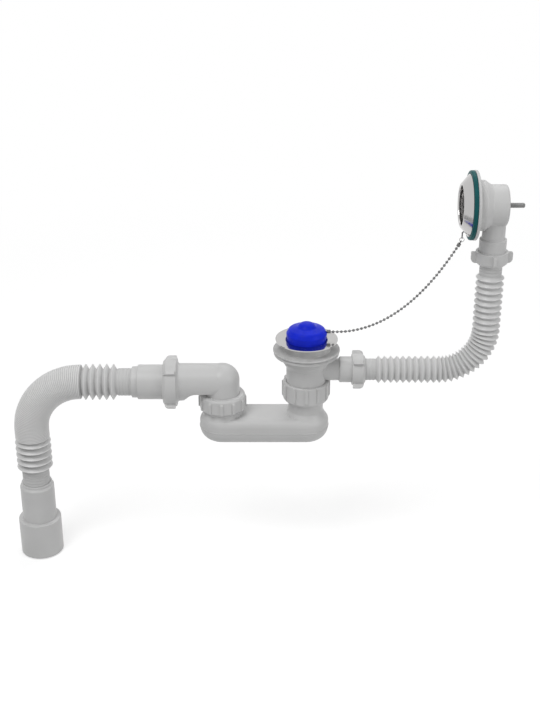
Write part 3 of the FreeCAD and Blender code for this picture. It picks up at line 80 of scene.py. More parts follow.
# One open fold and one fold pressed shut, from valley to valley, and one rib of a hose's end, each
# as (share of its pitch, share of its height)
OPEN_FOLD = (
    (0.0, 0.0), (0.035, 0.03), (0.46, 0.965), (0.5, 1.0), (0.54, 0.965), (0.965, 0.03), (1.0, 0.0),
)
SHUT_FOLD = ((0.0, 0.0), (0.16, 0.78), (0.5, 1.0), (0.84, 0.78), (1.0, 0.0))
RIB = ((0.0, 1.0), (0.3, 1.0), (0.42, 0.0), (0.58, 0.0), (0.7, 1.0), (1.0, 1.0))

QUARTER_HANDLE = 0.5519   # length of a curve handle that makes a quarter circle, per radius
ROUTE_STEPS = 96          # points on each stretch of a hose's route
WELD_REACH = 2e-6         # rings closer than this are one ring

BALL_DENT = 0.3           # depth of a ball's dimple, per width of the dimple
LINK_REACH = 0.45         # how far a link enters a ball, per width of the dimple
LINK_WAIST = 0.82         # thickness of a link in its middle, per thickness at its ends

RING_STEPS = 40           # slices in one turn of the split ring
RING_LIFT = 1.04          # rise of one turn, per thickness of the wire

THREAD_SINK = 0.00008     # how deep a thread's foot sits in the screw's core
THREAD_FOOT = 0.46        # half the width of a thread's foot, per pitch
THREAD_LEAD = 0.0004      # from the plain shank to the middle of the first turn
THREAD_TIP = 0.001        # left plain at the screw's tip

MIDDLE = (-0.05, 0.0, -0.05)   # the point that the lamps face
FLOOR_WIDTH = 24.0
FLOOR_DROP = 0.0012            # from the object's lowest point to the floor
FLOOR_GLOW = 0.50              # white that the camera sees over the floor's own colour
FLOOR_NEAR, FLOOR_FAR = 0.6, 1.5   # between them the floor turns from its own colour to white


def length(name, description, default):
    """A size in metres that a user can change."""
    return FloatProperty(name=name, description=description, default=default, min=0.0,
                         unit="LENGTH", subtype="DISTANCE", precision=5)


def colour(name, description, default):
    """A colour that a user can change."""
    return FloatVectorProperty(name=name, description=description, default=default, size=3,
                               min=0.0, max=1.0, subtype="COLOR")


class BATHWASTE_PG_overflow_hose(PropertyGroup):
    """Sizes of the bellows hose between the waste and the overflow"""

    start: FloatVectorProperty(
        name="Start", description="Centre of the hose's end in the waste's branch",
        default=(0.0385, 0.0, -0.0371), subtype="TRANSLATION", unit="LENGTH", precision=5)
    level_run: length("Level run", "Straight stretch before the bend", 0.1114)
    bend: length("Bend radius", "Radius of the hose's centre line in the bend", 0.05)
    rise: length("Rise", "Straight stretch after the bend", 0.1052)
    peak: length("Fold peak", "Outside diameter over the folds", 0.031)
    valley: length("Fold valley", "Outside diameter between the folds", 0.0234)
    end: length("End diameter", "Outside diameter of the ribbed ends", 0.0247)
    end_length: length("End length", "Length of each ribbed end with its neck", 0.04)
    neck: length("Neck", "Length of the cone between a ribbed end and the folds", 0.002)
    rib_pitch: length("Rib pitch", "Distance between two ribs of the ends", 0.004)
    rib_depth: length("Rib depth", "Depth of the grooves between the ribs", 0.00035)
    sides: IntProperty(name="Sides", description="Faces round the hose", default=64, min=12)
    level_folds: IntProperty(name="Level folds", description="Folds before the bend", default=10,
                             min=1)
    bend_folds: IntProperty(name="Bend folds", description="Folds drawn together through the bend",
                            default=15, min=1)
    rise_folds: IntProperty(name="Rising folds", description="Folds after the bend", default=9,
                            min=1)
    level_folded: length("Level folded length", "Length of the folds before the bend", 0.0695)
    rise_folded: length("Rising folded length", "Length of the folds after the bend", 0.064)
    wall: length("Wall", "Thickness of the blown wall", 0.0011)


class BATHWASTE_PG_outlet_hose(PropertyGroup):
    """Sizes of the bellows hose that leads to the drain"""

    start: FloatVectorProperty(
        name="Start", description="Centre of the hose's end in the cuff",
        default=(-0.1902, 0.0, -0.053), subtype="TRANSLATION", unit="LENGTH", precision=5)
    level_run: length("Level run", "Straight stretch before the bend", 0.0673)
    bend: length("Bend radius", "Radius of the hose's centre line in the bend", 0.06)
    drop: length("Drop", "Straight stretch after the bend", 0.077)
    peak: length("Fold peak", "Outside diameter over the open folds", 0.0414)
    valley: length("Fold valley", "Outside diameter between the open folds", 0.0292)
    shut_peak: length("Shut fold peak", "Outside diameter over the folds pressed shut", 0.0397)
    shut_valley: length("Shut fold valley", "Outside diameter of their grooves", 0.0383)
    end: length("End diameter", "Outside diameter of the ribbed ends", 0.0316)
    end_length: length("End length", "Length of each ribbed end with its neck", 0.025)
    neck: length("Neck", "Length of the cone between a ribbed end and the folds", 0.002)
    rib_pitch: length("Rib pitch", "Distance between two ribs of the ends", 0.004)
    rib_depth: length("Rib depth", "Depth of the grooves between the ribs", 0.00035)
    step: length("Step", "Length of the cone between the open and the shut folds", 0.0015)
    sides: IntProperty(name="Sides", description="Faces round the hose", default=72, min=12)
    open_pitch: length("Open pitch", "Distance between two open folds", 0.0079)
    open_folds: IntProperty(name="Open folds", description="Open folds at each end of the bend",
                            default=5, min=1)
    shut_folds: IntProperty(name="Shut folds", description="Folds pressed shut through the bend",
                            default=56, min=1)
    wall: length("Wall", "Thickness of the blown wall", 0.0012)


class BATHWASTE_PG_chain(PropertyGroup):
    """Sizes of the ball chain and of the split ring"""

    first: FloatVectorProperty(
        name="First ball", description="Centre of the ball in the plug's stud",
        default=(0.0252, 0.0, 0.009614), subtype="TRANSLATION", unit="LENGTH", precision=5)
    last: FloatVectorProperty(
        name="Last ball", description="Centre of the ball in the clasp",
        default=(0.162948, 0.0, 0.111526), subtype="TRANSLATION", unit="LENGTH", precision=5)
    slack: length("Slack", "Catenary parameter of the hanging chain", 0.095)
    ball: length("Ball", "Diameter of a ball", 0.0032)
    dimple: length("Dimple", "Width of the dimple where a link enters a ball", 0.0013)
    rod: length("Link", "Diameter of the link between two balls", 0.0009)
    pitch: length("Pitch", "Distance between two balls", 0.0045)
    ring: length("Ring", "Diameter of the split ring's wire circle", 0.005)
    wire: length("Ring wire", "Diameter of the split ring's wire", 0.00044)
    turns: FloatProperty(name="Turns", description="Turns of the split ring's wire", default=1.9,
                         min=1.0)


class BATHWASTE_PG_threads(PropertyGroup):
    """Sizes of the threads on the two fixing screws"""

    pitch: length("Pitch", "Distance between two thread crests", 0.001)
    crest: length("Crest", "Diameter over the crests", 0.0059)
    root: length("Root", "Diameter of the plain core", 0.005)
    plain: length("Plain shank", "Length of the plain shank with the head", 0.0296)
    steps: IntProperty(name="Steps", description="Faces in one turn of the thread", default=24,
                       min=8)


class BATHWASTE_PG_finishes(PropertyGroup):
    """Colours of the finishes"""

    plastic: colour("Moulded plastic", "Colour of the white mouldings", (0.62, 0.62, 0.618))
    hose: colour("Hose plastic", "Colour of the blown hoses", (0.69, 0.69, 0.688))
    seal: colour("Seals", "Colour of the rubber seals", (0.007, 0.098, 0.104))
    plug: colour("Plug", "Colour of the rubber plug", (0.012, 0.029, 0.68))
    steel: colour("Polished steel", "Colour of the pressed flanges", (0.52, 0.512, 0.508))
    chain: colour("Chain steel", "Colour of the balls and wire", (0.17, 0.17, 0.17))
    fixing: colour("Fixing steel", "Colour of the screws and nuts", (0.20, 0.20, 0.20))


class BATHWASTE_PG_stage(PropertyGroup):
    """Camera, floor and light"""

    camera: FloatVectorProperty(
        name="Camera", description="Place of the camera", default=(-0.0410, -1.2289, 0.5475),
        subtype="TRANSLATION", unit="LENGTH", precision=4)
    pitch: FloatProperty(name="Camera pitch", description="Camera's turn up from straight down",
                         default=math.radians(65.0), unit="ROTATION", subtype="ANGLE")
    lens: FloatProperty(name="Lens", description="Focal length in millimetres", default=60.0,
                        min=1.0, unit="CAMERA")
    floor: colour("Floor", "Colour of the floor", (0.70, 0.70, 0.70))
    key: FloatProperty(name="Key light", description="Power of the large light", default=23.0,
                       min=0.0, unit="POWER")
    fill: FloatProperty(name="Fill light", description="Power of the fill light", default=8.0,
                        min=0.0, unit="POWER")
    back: FloatProperty(name="Back light", description="Power of the light behind the object",
                        default=10.4, min=0.0, unit="POWER")
    room: FloatProperty(name="Room light", description="Strength of the light from all round",
                        default=0.36, min=0.0)


# Mesh work

def deselect():
    """Leave nothing selected, in object mode."""
    if bpy.context.object and bpy.context.object.mode != "OBJECT":
        bpy.ops.object.mode_set(mode="OBJECT")
    bpy.ops.object.select_all(action="DESELECT")


def pick(*pieces):
    """Select these pieces alone, the first one active."""
    deselect()
    for piece in pieces:
        piece.select_set(True)
    bpy.context.view_layer.objects.active = pieces[0]


def settle(piece):
    """Put the piece's place, turn and size into its mesh."""
    pick(piece)
    bpy.ops.object.transform_apply(location=True, rotation=True, scale=True)


def apply_modifier(piece, kind, **settings):
    """Add a modifier with these settings and apply it."""
    pick(piece)
    modifier = piece.modifiers.new(kind.title(), kind)
    for name, value in settings.items():
        setattr(modifier, name, value)
    bpy.ops.object.modifier_apply(modifier=modifier.name)


def drawn_tube(name, rings, sides):
    """A tube along +X, drawn out ring by ring; a ring is (distance, radius)."""
    deselect()
    distance, radius = rings[0]
    bpy.ops.mesh.primitive_circle_add(vertices=sides, radius=radius, fill_type="NOTHING",
                                      location=(distance, 0, 0), rotation=(0, math.pi / 2, 0))
    tube = bpy.context.object
    tube.name = name
    tube.data.name = name
    settle(tube)
    bpy.ops.object.mode_set(mode="EDIT")
    bpy.ops.mesh.select_all(action="SELECT")
    for next_distance, next_radius in rings[1:]:
        bpy.ops.mesh.extrude_region_move(
            TRANSFORM_OT_translate={"value": (next_distance - distance, 0, 0)})
        if abs(next_radius - radius) > 1e-9:
            scale = next_radius / radius
            bpy.ops.transform.resize(value=(1, scale, scale),
                                     center_override=(next_distance, 0, 0))
        distance, radius = next_distance, next_radius
    bpy.ops.object.mode_set(mode="OBJECT")
    return tube


def repeated(name, profile, start, pitch, low, high, count, sides):
    """One fold or rib drawn from its profile and repeated along +X."""
    rings = [(start + along * pitch, low + height * (high - low)) for along, height in profile]
    piece = drawn_tube(name, rings, sides)
    apply_modifier(piece, "ARRAY", count=count, use_relative_offset=False,
                   use_constant_offset=True, constant_offset_displace=(pitch, 0, 0),
                   use_merge_vertices=True, merge_threshold=1e-6)
    return piece


def hose_ends(sizes, whole):
    """The ribbed ends of a hose and the cones that join them to its folds."""
    end, valley = sizes.end / 2, sizes.valley / 2
    ribbed = sizes.end_length - sizes.neck
    count = max(1, round(ribbed / sizes.rib_pitch))
    near, far = sizes.end_length, whole - sizes.end_length
    parts = [
        drawn_tube("near_neck", [(ribbed, end), (near, valley)], sizes.sides),
        drawn_tube("far_neck", [(far, valley), (whole - ribbed, end)], sizes.sides),
    ]
    for name, start in (("near_end", 0.0), ("far_end", whole - ribbed)):
        parts.append(repeated(name, RIB, start, ribbed / count, end - sizes.rib_depth, end,
                              count, sizes.sides))
    return parts


def welded(name, pieces):
    """Join tubes that meet end to end and merge the rings that they share."""
    pick(*pieces)
    bpy.ops.object.join()
    piece = bpy.context.object
    piece.name = name
    piece.data.name = name
    bpy.ops.object.mode_set(mode="EDIT")
    bpy.ops.mesh.select_all(action="SELECT")
    bpy.ops.mesh.remove_doubles(threshold=WELD_REACH)
    bpy.ops.mesh.normals_make_consistent(inside=False)
    bpy.ops.object.mode_set(mode="OBJECT")
    return piece


def note_fold_height(piece, stretches):
    """Keep how far each point stands out from its valleys, for the finish to paint shade in the
    valleys and a highlight on the crests; a stretch is (start, stop, valley radius, peak radius)."""
    heights = piece.data.attributes.new("fold_height", "FLOAT", "POINT")
    for index, point in enumerate(piece.data.vertices):
        radius = math.hypot(point.co.y, point.co.z)
        for start, stop, low, high in stretches:
            if start <= point.co.x <= stop:
                share = (radius - low) / (high - low)
                heights.data[index].value = min(1.0, max(0.0, share))


def route_curve(start, heading, first, bend, turn, last):
    """A straight run, a quarter bend and a second run, as one curve in the XZ plane."""
    deselect()
    bpy.ops.curve.primitive_bezier_curve_add()
    route = bpy.context.object
    ahead, after = Vector(heading), Vector(turn)
    corner = Vector(start) + ahead * (first + bend)
    spots = [Vector(start), corner - ahead * bend, corner + after * bend,
             corner + after * (bend + last)]
    spline = route.data.splines[0]
    spline.bezier_points.add(2)
    reach = bend * QUARTER_HANDLE
    before = [ahead * (first / 3), ahead * (first / 3), after * reach, after * (last / 3)]
    beyond = [ahead * (first / 3), ahead * reach, after * (last / 3), after * (last / 3)]
    for point, spot, back, front in zip(spline.bezier_points, spots, before, beyond):
        point.handle_left_type = point.handle_right_type = "FREE"
        point.co = spot
        point.handle_left = spot - back
        point.handle_right = spot + front
    route.data.dimensions = "3D"
    route.data.resolution_u = spline.resolution_u = ROUTE_STEPS
    settle(route)
    return route


def bend_along(piece, route):
    """Lay the straight tube along its route, then take the route away."""
    apply_modifier(piece, "CURVE", object=route, deform_axis="POS_X")
    pick(route)
    bpy.ops.object.delete()


def smooth(piece, angle):
    """Smooth shading, with the edges sharper than this angle left sharp."""
    pick(piece)
    bpy.ops.object.shade_smooth()
    bpy.ops.object.shade_smooth_by_angle(angle=math.radians(angle))


def finish_piece(piece, material, slot, *nodes):
    """Give the piece its finish, let it ride on the body and stand for its CAD nodes."""
    piece.data.materials.clear()
    piece.data.materials.append(material)
    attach(piece, "root")
    if nodes:
        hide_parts(*nodes)


# Finishes

class Finish:
    """A material under construction."""

    def __init__(self, name, **sockets):
        self.material = bpy.data.materials.new(name)
        self.material.use_nodes = True
        self.tree = self.material.node_tree
        self.shader = self.tree.nodes["Principled BSDF"]
        for socket, value in sockets.items():
            self.shader.inputs[socket.replace("_", " ")].default_value = value
        self.place = self.add("ShaderNodeTexCoord").outputs["Object"]
        self.normal = None

    def add(self, kind, **settings):
        """A new node; a setting named after one of its sockets fills or links that socket, and
        i0, i1 and so on stand for its sockets by number."""
        made = self.tree.nodes.new(kind)
        links = {}
        for name, value in settings.items():
            if hasattr(made, name):
                setattr(made, name, value)
            else:
                links[name] = value
        for name, value in links.items():
            socket = made.inputs[int(name[1:])] if name[0] == "i" and name[1:].isdigit() \
                else made.inputs[name]
            if isinstance(value, bpy.types.NodeSocket):
                self.tree.links.new(value, socket)
            else:
                socket.default_value = value
        return made

    def reckon(self, operation, *values):
        """One step of arithmetic on numbers or outputs."""
        return self.add("ShaderNodeMath", operation=operation,
                        **{f"i{index}": value for index, value in enumerate(values)}).outputs[0]

    def noise(self, scale, detail):
        """Noise with features of about one part in scale of a metre."""
        return self.add("ShaderNodeTexNoise", Scale=scale, Detail=detail,
                        Vector=self.place).outputs["Fac"]

    def between(self, value, low, high, dark, light):
        """The value's range from low to high laid over a new range."""
        made = self.add("ShaderNodeMapRange", interpolation_type="SMOOTHSTEP")
        for name, number in (("From Min", low), ("From Max", high), ("To Min", dark),
                             ("To Max", light)):
            made.inputs[name].default_value = number
        self.tree.links.new(value, made.inputs["Value"])
        return made.outputs["Result"]

    def blend(self, factor, dark, light):
        """A colour between two colours or outputs."""
        made = self.add("ShaderNodeMix", data_type="RGBA", clamp_factor=True)
        for socket, value in ((made.inputs[0], factor), (made.inputs[6], dark),
                              (made.inputs[7], light)):
            if isinstance(value, bpy.types.NodeSocket):
                self.tree.links.new(value, socket)
            else:
                socket.default_value = value
        return made.outputs[2]

    def paint(self, output):
        """Let the colour follow this output."""
        self.tree.links.new(output, self.shader.inputs["Base Color"])

    def roughen(self, output):
        """Let the roughness follow this output."""
        self.tree.links.new(output, self.shader.inputs["Roughness"])

    def raise_up(self, height, distance, strength):
        """Add relief of this depth, in metres, to the relief made before."""
        made = self.add("ShaderNodeBump", Height=height, Distance=distance, Strength=strength)
        if self.normal:
            self.tree.links.new(self.normal, made.inputs["Normal"])
        self.normal = made.outputs["Normal"]
        self.tree.links.new(self.normal, self.shader.inputs["Normal"])

    def axis(self, name):
        """One of the coordinates X, Y and Z."""
        return self.add("ShaderNodeSeparateXYZ", Vector=self.place).outputs[name]

    def line(self, value, at, width):
        """1 on a line where the value is at, falling to 0 a width away."""
        away = self.reckon("ABSOLUTE", self.reckon("SUBTRACT", value, at))
        return self.between(away, 0.0, width, 1.0, 0.0)

    def spot(self, centre, radius, width):
        """1 on a small circle round a point, for a gate mark."""
        away = self.add("ShaderNodeVectorMath", operation="DISTANCE", i0=self.place,
                        i1=centre).outputs["Value"]
        return self.line(away, radius, width)

    def brush_round(self, centre, axis):
        """Let the shine stretch along rings round an axis through a point."""
        moved = self.add("ShaderNodeVectorMath", operation="SUBTRACT", i0=self.place, i1=centre)
        round_it = self.add("ShaderNodeVectorMath", operation="CROSS_PRODUCT", i0=moved.outputs[0],
                            i1=axis)
        along = self.add("ShaderNodeVectorMath", operation="NORMALIZE", i0=round_it.outputs[0])
        self.tree.links.new(along.outputs[0], self.shader.inputs["Tangent"])

    def from_axis(self, centre, turn):
        """Distance from an axis through a point, turned from the upright by these angles."""
        moved = self.add("ShaderNodeVectorMath", operation="SUBTRACT", i0=self.place, i1=centre)
        turned = self.add("ShaderNodeMapping", Vector=moved.outputs[0], Rotation=turn)
        flat = self.add("ShaderNodeVectorMath", operation="MULTIPLY", i0=turned.outputs[0],
                        i1=(1, 1, 0))
        return self.add("ShaderNodeVectorMath", operation="LENGTH",
                        i0=flat.outputs[0]).outputs["Value"]


def opaque(tone, factor=1.0):
    """A colour as four numbers, made lighter or darker by a factor."""
    return tuple(min(1.0, part * factor) for part in tone) + (1.0,)


def moulded_plastic(name, tone, parting, gate=None):
    """Satin polypropylene with fine grain, faint flow clouds, a parting line and a gate mark."""
    made = Finish(name, Roughness=0.42, IOR=1.49)
    clouds = made.between(made.noise(22.0, 3.0), 0.3, 0.7, 0.0, 1.0)
    made.paint(made.blend(clouds, opaque(tone, 0.965), opaque(tone, 1.02)))
    made.roughen(made.between(made.noise(140.0, 3.0), 0.3, 0.7, 0.37, 0.47))
    made.raise_up(made.noise(55.0, 1.0), 0.0004, 0.12)
    made.raise_up(made.noise(2600.0, 2.0), 0.00003, 0.5)
    axis, at = parting
    made.raise_up(made.line(made.axis(axis), at, 0.00028), 0.00012, 0.9)
    if gate:
        made.raise_up(made.spot(gate, 0.0016, 0.0004), 0.0002, 0.9)
    return made.material


def hose_plastic(name, tone):
    """Blown polypropylene: painted shade in the valleys, a painted highlight on the crests,
    shinier over the folds and a seam on both sides.
    """
    made = Finish(name, Roughness=0.4, IOR=1.49)
    height = made.add("ShaderNodeAttribute", attribute_name="fold_height").outputs["Fac"]
    clouds = made.noise(30.0, 3.0)
    body = made.blend(clouds, opaque(tone, 0.96), opaque(tone, 1.02))
    # painted shade: the valleys between the folds are coloured darker than the rest of the hose
    valleys = made.blend(clouds, opaque(tone, 0.80), opaque(tone, 0.84))
    # painted shade fading out up the flanks of the folds, from the dark valleys to the plain tone
    painted_fold_shade = made.blend(made.between(height, 0.0, 0.6, 0.0, 1.0), valleys, body)
    # painted highlight: a light line coloured along the crest of each fold
    made.paint(made.blend(made.between(height, 0.86, 0.97, 0.0, 1.0), painted_fold_shade,
                          opaque(tone, 1.16)))
    made.roughen(made.between(height, 0.0, 1.0, 0.5, 0.36))
    made.raise_up(made.noise(70.0, 2.0), 0.0005, 0.15)
    made.raise_up(made.noise(1900.0, 2.0), 0.00004, 0.5)
    made.raise_up(made.line(made.axis("Y"), 0.0, 0.00035), 0.00018, 0.9)
    return made.material


def soft_rubber(name, tone, low, high, sheen=0.14):
    """Moulded rubber with a fine bloom."""
    made = Finish(name, Roughness=0.5, IOR=1.5, Specular_IOR_Level=sheen)
    bloom = made.between(made.noise(90.0, 4.0), 0.35, 0.7, 0.0, 1.0)
    made.paint(made.blend(bloom, opaque(tone, 0.93), opaque(tone, 1.07)))
    made.roughen(made.between(made.noise(260.0, 3.0), 0.3, 0.7, low, high))
    made.raise_up(made.noise(3200.0, 2.0), 0.000025, 0.5)
    made.raise_up(made.noise(120.0, 1.0), 0.00015, 0.15)
    return made.material


def spun_steel(name, tone, centre, turn, axis):
    """Polished pressed steel with faint lathe lines round its axis."""
    made = Finish(name, Metallic=1.0, Roughness=0.14, Anisotropic=0.55)
    away = made.from_axis(centre, turn)
    made.brush_round(centre, axis)
    ticks = made.add("ShaderNodeTexNoise", noise_dimensions="1D", Scale=5200.0, Detail=3.0,
                     W=away).outputs["Fac"]
    made.paint(made.blend(made.noise(60.0, 3.0), opaque(tone, 0.95), opaque(tone, 1.0)))
    made.roughen(made.between(ticks, 0.3, 0.7, 0.09, 0.16))
    made.raise_up(ticks, 0.000004, 0.35)
    return made.material


def dull_steel(name, tone, low, high):
    """Tumbled steel of screws, nuts and wire."""
    made = Finish(name, Metallic=1.0, Roughness=0.35)
    patch = made.between(made.noise(420.0, 4.0), 0.3, 0.7, 0.0, 1.0)
    made.paint(made.blend(patch, opaque(tone, 0.85), opaque(tone, 1.1)))
    made.roughen(made.between(made.noise(900.0, 3.0), 0.3, 0.7, low, high))
    made.raise_up(made.noise(4200.0, 2.0), 0.00001, 0.4)
    return made.material


def dress(names, material):
    """Give CAD nodes their finish."""
    for name in names:
        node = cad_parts[name]
        node.material_slots[0].material = material


# Operators

class BATHWASTE_OT_stage(Operator):
    """Make the camera, the pale floor, the white surroundings and the lights"""

    bl_idname = "bath_waste.stage"
    bl_label = "Stage"

    def execute(self, context):
        sizes = context.scene.bath_waste_stage
        deselect()
        bpy.ops.object.camera_add(location=sizes.camera, rotation=(sizes.pitch, 0, 0))
        camera = context.object
        camera.name = "view_camera"
        camera.data.lens = sizes.lens
        camera.data.sensor_width = 36.0
        camera.data.clip_start, camera.data.clip_end = 0.01, 40.0
        context.scene.camera = camera
        context.scene.view_settings.view_transform = "Standard"
        self.add_floor(sizes)
        self.add_surroundings(context, sizes)
        for name, spot, width, power in (
            ("key_light", (-0.9, -1.05, 2.1), 1.3, sizes.key),
            ("fill_light", (1.7, -1.1, 0.8), 1.2, sizes.fill),
            ("back_light", (0.3, 1.2, 1.9), 1.8, sizes.back),
        ):
            bpy.ops.object.light_add(type="AREA", location=spot)
            lamp = context.object
            lamp.name = name
            lamp.data.shape = "DISK"
            lamp.data.size = width
            lamp.data.energy = power
            aim = Vector(MIDDLE) - Vector(spot)
            lamp.rotation_euler = aim.to_track_quat("-Z", "Y").to_euler()
        return {"FINISHED"}

    def add_floor(self, sizes):
        """A wide floor that is white in the distance and keeps the shadow near the object."""
        low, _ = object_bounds()
        deselect()
        bpy.ops.mesh.primitive_plane_add(size=FLOOR_WIDTH, location=(0, 0, low.z - FLOOR_DROP))
        floor = bpy.context.object
        floor.name = "floor"
        settle(floor)
        made = Finish("floor_pale", Base_Color=opaque(sizes.floor), Roughness=0.9,
                      Specular_IOR_Level=0.1)
        tree = made.tree
        seen = made.add("ShaderNodeLightPath")
        any_seen = made.reckon("MAXIMUM", seen.outputs["Is Camera Ray"], made.reckon(
            "MAXIMUM", seen.outputs["Is Glossy Ray"], seen.outputs["Is Transmission Ray"]))
        white = made.add("ShaderNodeEmission", Strength=1.0)
        glow = made.add("ShaderNodeEmission", Strength=FLOOR_GLOW)
        lit = made.add("ShaderNodeAddShader")
        tree.links.new(made.shader.outputs[0], lit.inputs[0])
        tree.links.new(glow.outputs[0], lit.inputs[1])
        near = made.add("ShaderNodeMixShader")
        far = made.add("ShaderNodeMixShader")
        away = made.add("ShaderNodeVectorMath", operation="LENGTH", i0=made.place)
        tree.links.new(made.between(away.outputs["Value"], FLOOR_NEAR, FLOOR_FAR, 0.0, 1.0),
                       near.inputs[0])
        tree.links.new(lit.outputs[0], near.inputs[1])
        tree.links.new(white.outputs[0], near.inputs[2])
        tree.links.new(any_seen, far.inputs[0])
        tree.links.new(made.shader.outputs[0], far.inputs[1])
        tree.links.new(near.outputs[0], far.inputs[2])
        tree.links.new(far.outputs[0], tree.nodes["Material Output"].inputs["Surface"])
        floor.data.materials.append(made.material)
        floor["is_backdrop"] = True

    def add_surroundings(self, context, sizes):
        """White where it is seen or mirrored, soft light elsewhere."""
        world = bpy.data.worlds.new("surroundings")
        context.scene.world = world
        world.use_nodes = True
        tree = world.node_tree
        seen = tree.nodes.new("ShaderNodeLightPath")
        mirrored = tree.nodes.new("ShaderNodeMath")
        mirrored.operation = "MAXIMUM"
        any_seen = tree.nodes.new("ShaderNodeMath")
        any_seen.operation = "MAXIMUM"
        tree.links.new(seen.outputs["Is Glossy Ray"], mirrored.inputs[0])
        tree.links.new(seen.outputs["Is Transmission Ray"], mirrored.inputs[1])
        tree.links.new(mirrored.outputs[0], any_seen.inputs[0])
        tree.links.new(seen.outputs["Is Camera Ray"], any_seen.inputs[1])
        dim = tree.nodes["Background"]
        dim.inputs["Color"].default_value = (1, 1, 1, 1)
        dim.inputs["Strength"].default_value = sizes.room
        white = tree.nodes.new("ShaderNodeBackground")
        white.inputs["Color"].default_value = (1, 1, 1, 1)
        white.inputs["Strength"].default_value = 1.0
        mix = tree.nodes.new("ShaderNodeMixShader")
        tree.links.new(any_seen.outputs[0], mix.inputs[0])
        tree.links.new(dim.outputs[0], mix.inputs[1])
        tree.links.new(white.outputs[0], mix.inputs[2])
        tree.links.new(mix.outputs[0], tree.nodes["World Output"].inputs["Surface"])


class BATHWASTE_OT_overflow_hose(Operator):
    """Model the bellows hose from the waste up to the overflow"""

    bl_idname = "bath_waste.overflow_hose"
    bl_label = "Overflow hose"

    def execute(self, context):
        sizes = context.scene.bath_waste_overflow_hose
        whole = sizes.level_run + sizes.bend * math.pi / 2 + sizes.rise
        plain, far = sizes.end_length, whole - sizes.end_length
        peak, valley = sizes.peak / 2, sizes.valley / 2
        parts = hose_ends(sizes, whole)
        bend_start, bend_end = plain + sizes.level_folded, far - sizes.rise_folded
        for name, start, stop, count in (
            ("level_folds", plain, bend_start, sizes.level_folds),
            ("bend_folds", bend_start, bend_end, sizes.bend_folds),
            ("rise_folds", bend_end, far, sizes.rise_folds),
        ):
            parts.append(repeated(name, OPEN_FOLD, start, (stop - start) / count, valley, peak,
                                  count, sizes.sides))
        hose = welded("overflow_hose_folds", parts)
        note_fold_height(hose, ((0.0, whole, valley, peak),))
        apply_modifier(hose, "SOLIDIFY", thickness=sizes.wall, offset=-1.0)
        bend_along(hose, route_curve(sizes.start, (1, 0, 0), sizes.level_run, sizes.bend,
                                     (0, 0, 1), sizes.rise))
        smooth(hose, 50.0)
        finish_piece(hose, hose_plastic("overflow_hose_plastic",
                                        context.scene.bath_waste_finishes.hose),
                     "hose_plastic", "overflow_hose")
        return {"FINISHED"}


class BATHWASTE_OT_outlet_hose(Operator):
    """Model the outlet hose, open at both ends and pressed shut through its bend"""

    bl_idname = "bath_waste.outlet_hose"
    bl_label = "Outlet hose"

    def execute(self, context):
        sizes = context.scene.bath_waste_outlet_hose
        whole = sizes.level_run + sizes.bend * math.pi / 2 + sizes.drop
        plain, far = sizes.end_length, whole - sizes.end_length
        peak, valley = sizes.peak / 2, sizes.valley / 2
        shut_peak, shut_valley = sizes.shut_peak / 2, sizes.shut_valley / 2
        reach = sizes.open_pitch * sizes.open_folds
        near_shut, far_shut = plain + reach + sizes.step, far - reach - sizes.step
        sides = sizes.sides
        parts = hose_ends(sizes, whole) + [
            repeated("near_folds", OPEN_FOLD, plain, sizes.open_pitch, valley, peak,
                     sizes.open_folds, sides),
            drawn_tube("near_step", [(plain + reach, valley), (near_shut, shut_valley)], sides),
            repeated("shut_folds", SHUT_FOLD, near_shut,
                     (far_shut - near_shut) / sizes.shut_folds, shut_valley, shut_peak,
                     sizes.shut_folds, sides),
            drawn_tube("far_step", [(far_shut, shut_valley), (far - reach, valley)], sides),
            repeated("far_folds", OPEN_FOLD, far - reach, sizes.open_pitch, valley, peak,
                     sizes.open_folds, sides),
        ]
        hose = welded("outlet_hose_folds", parts)
        # the shut folds get their own valley and peak, so that the painted shade darkens their
        # grooves and the painted highlight lights their crests
        note_fold_height(hose, ((0.0, whole, valley, peak),
                                (near_shut, far_shut, shut_valley, shut_peak)))
        apply_modifier(hose, "SOLIDIFY", thickness=sizes.wall, offset=-1.0)
        bend_along(hose, route_curve(sizes.start, (-1, 0, 0), sizes.level_run, sizes.bend,
                                     (0, 0, -1), sizes.drop))
        smooth(hose, 50.0)
        finish_piece(hose, hose_plastic("outlet_hose_plastic",
                                        context.scene.bath_waste_finishes.hose),
                     "hose_plastic", "outlet_hose")
        return {"FINISHED"}


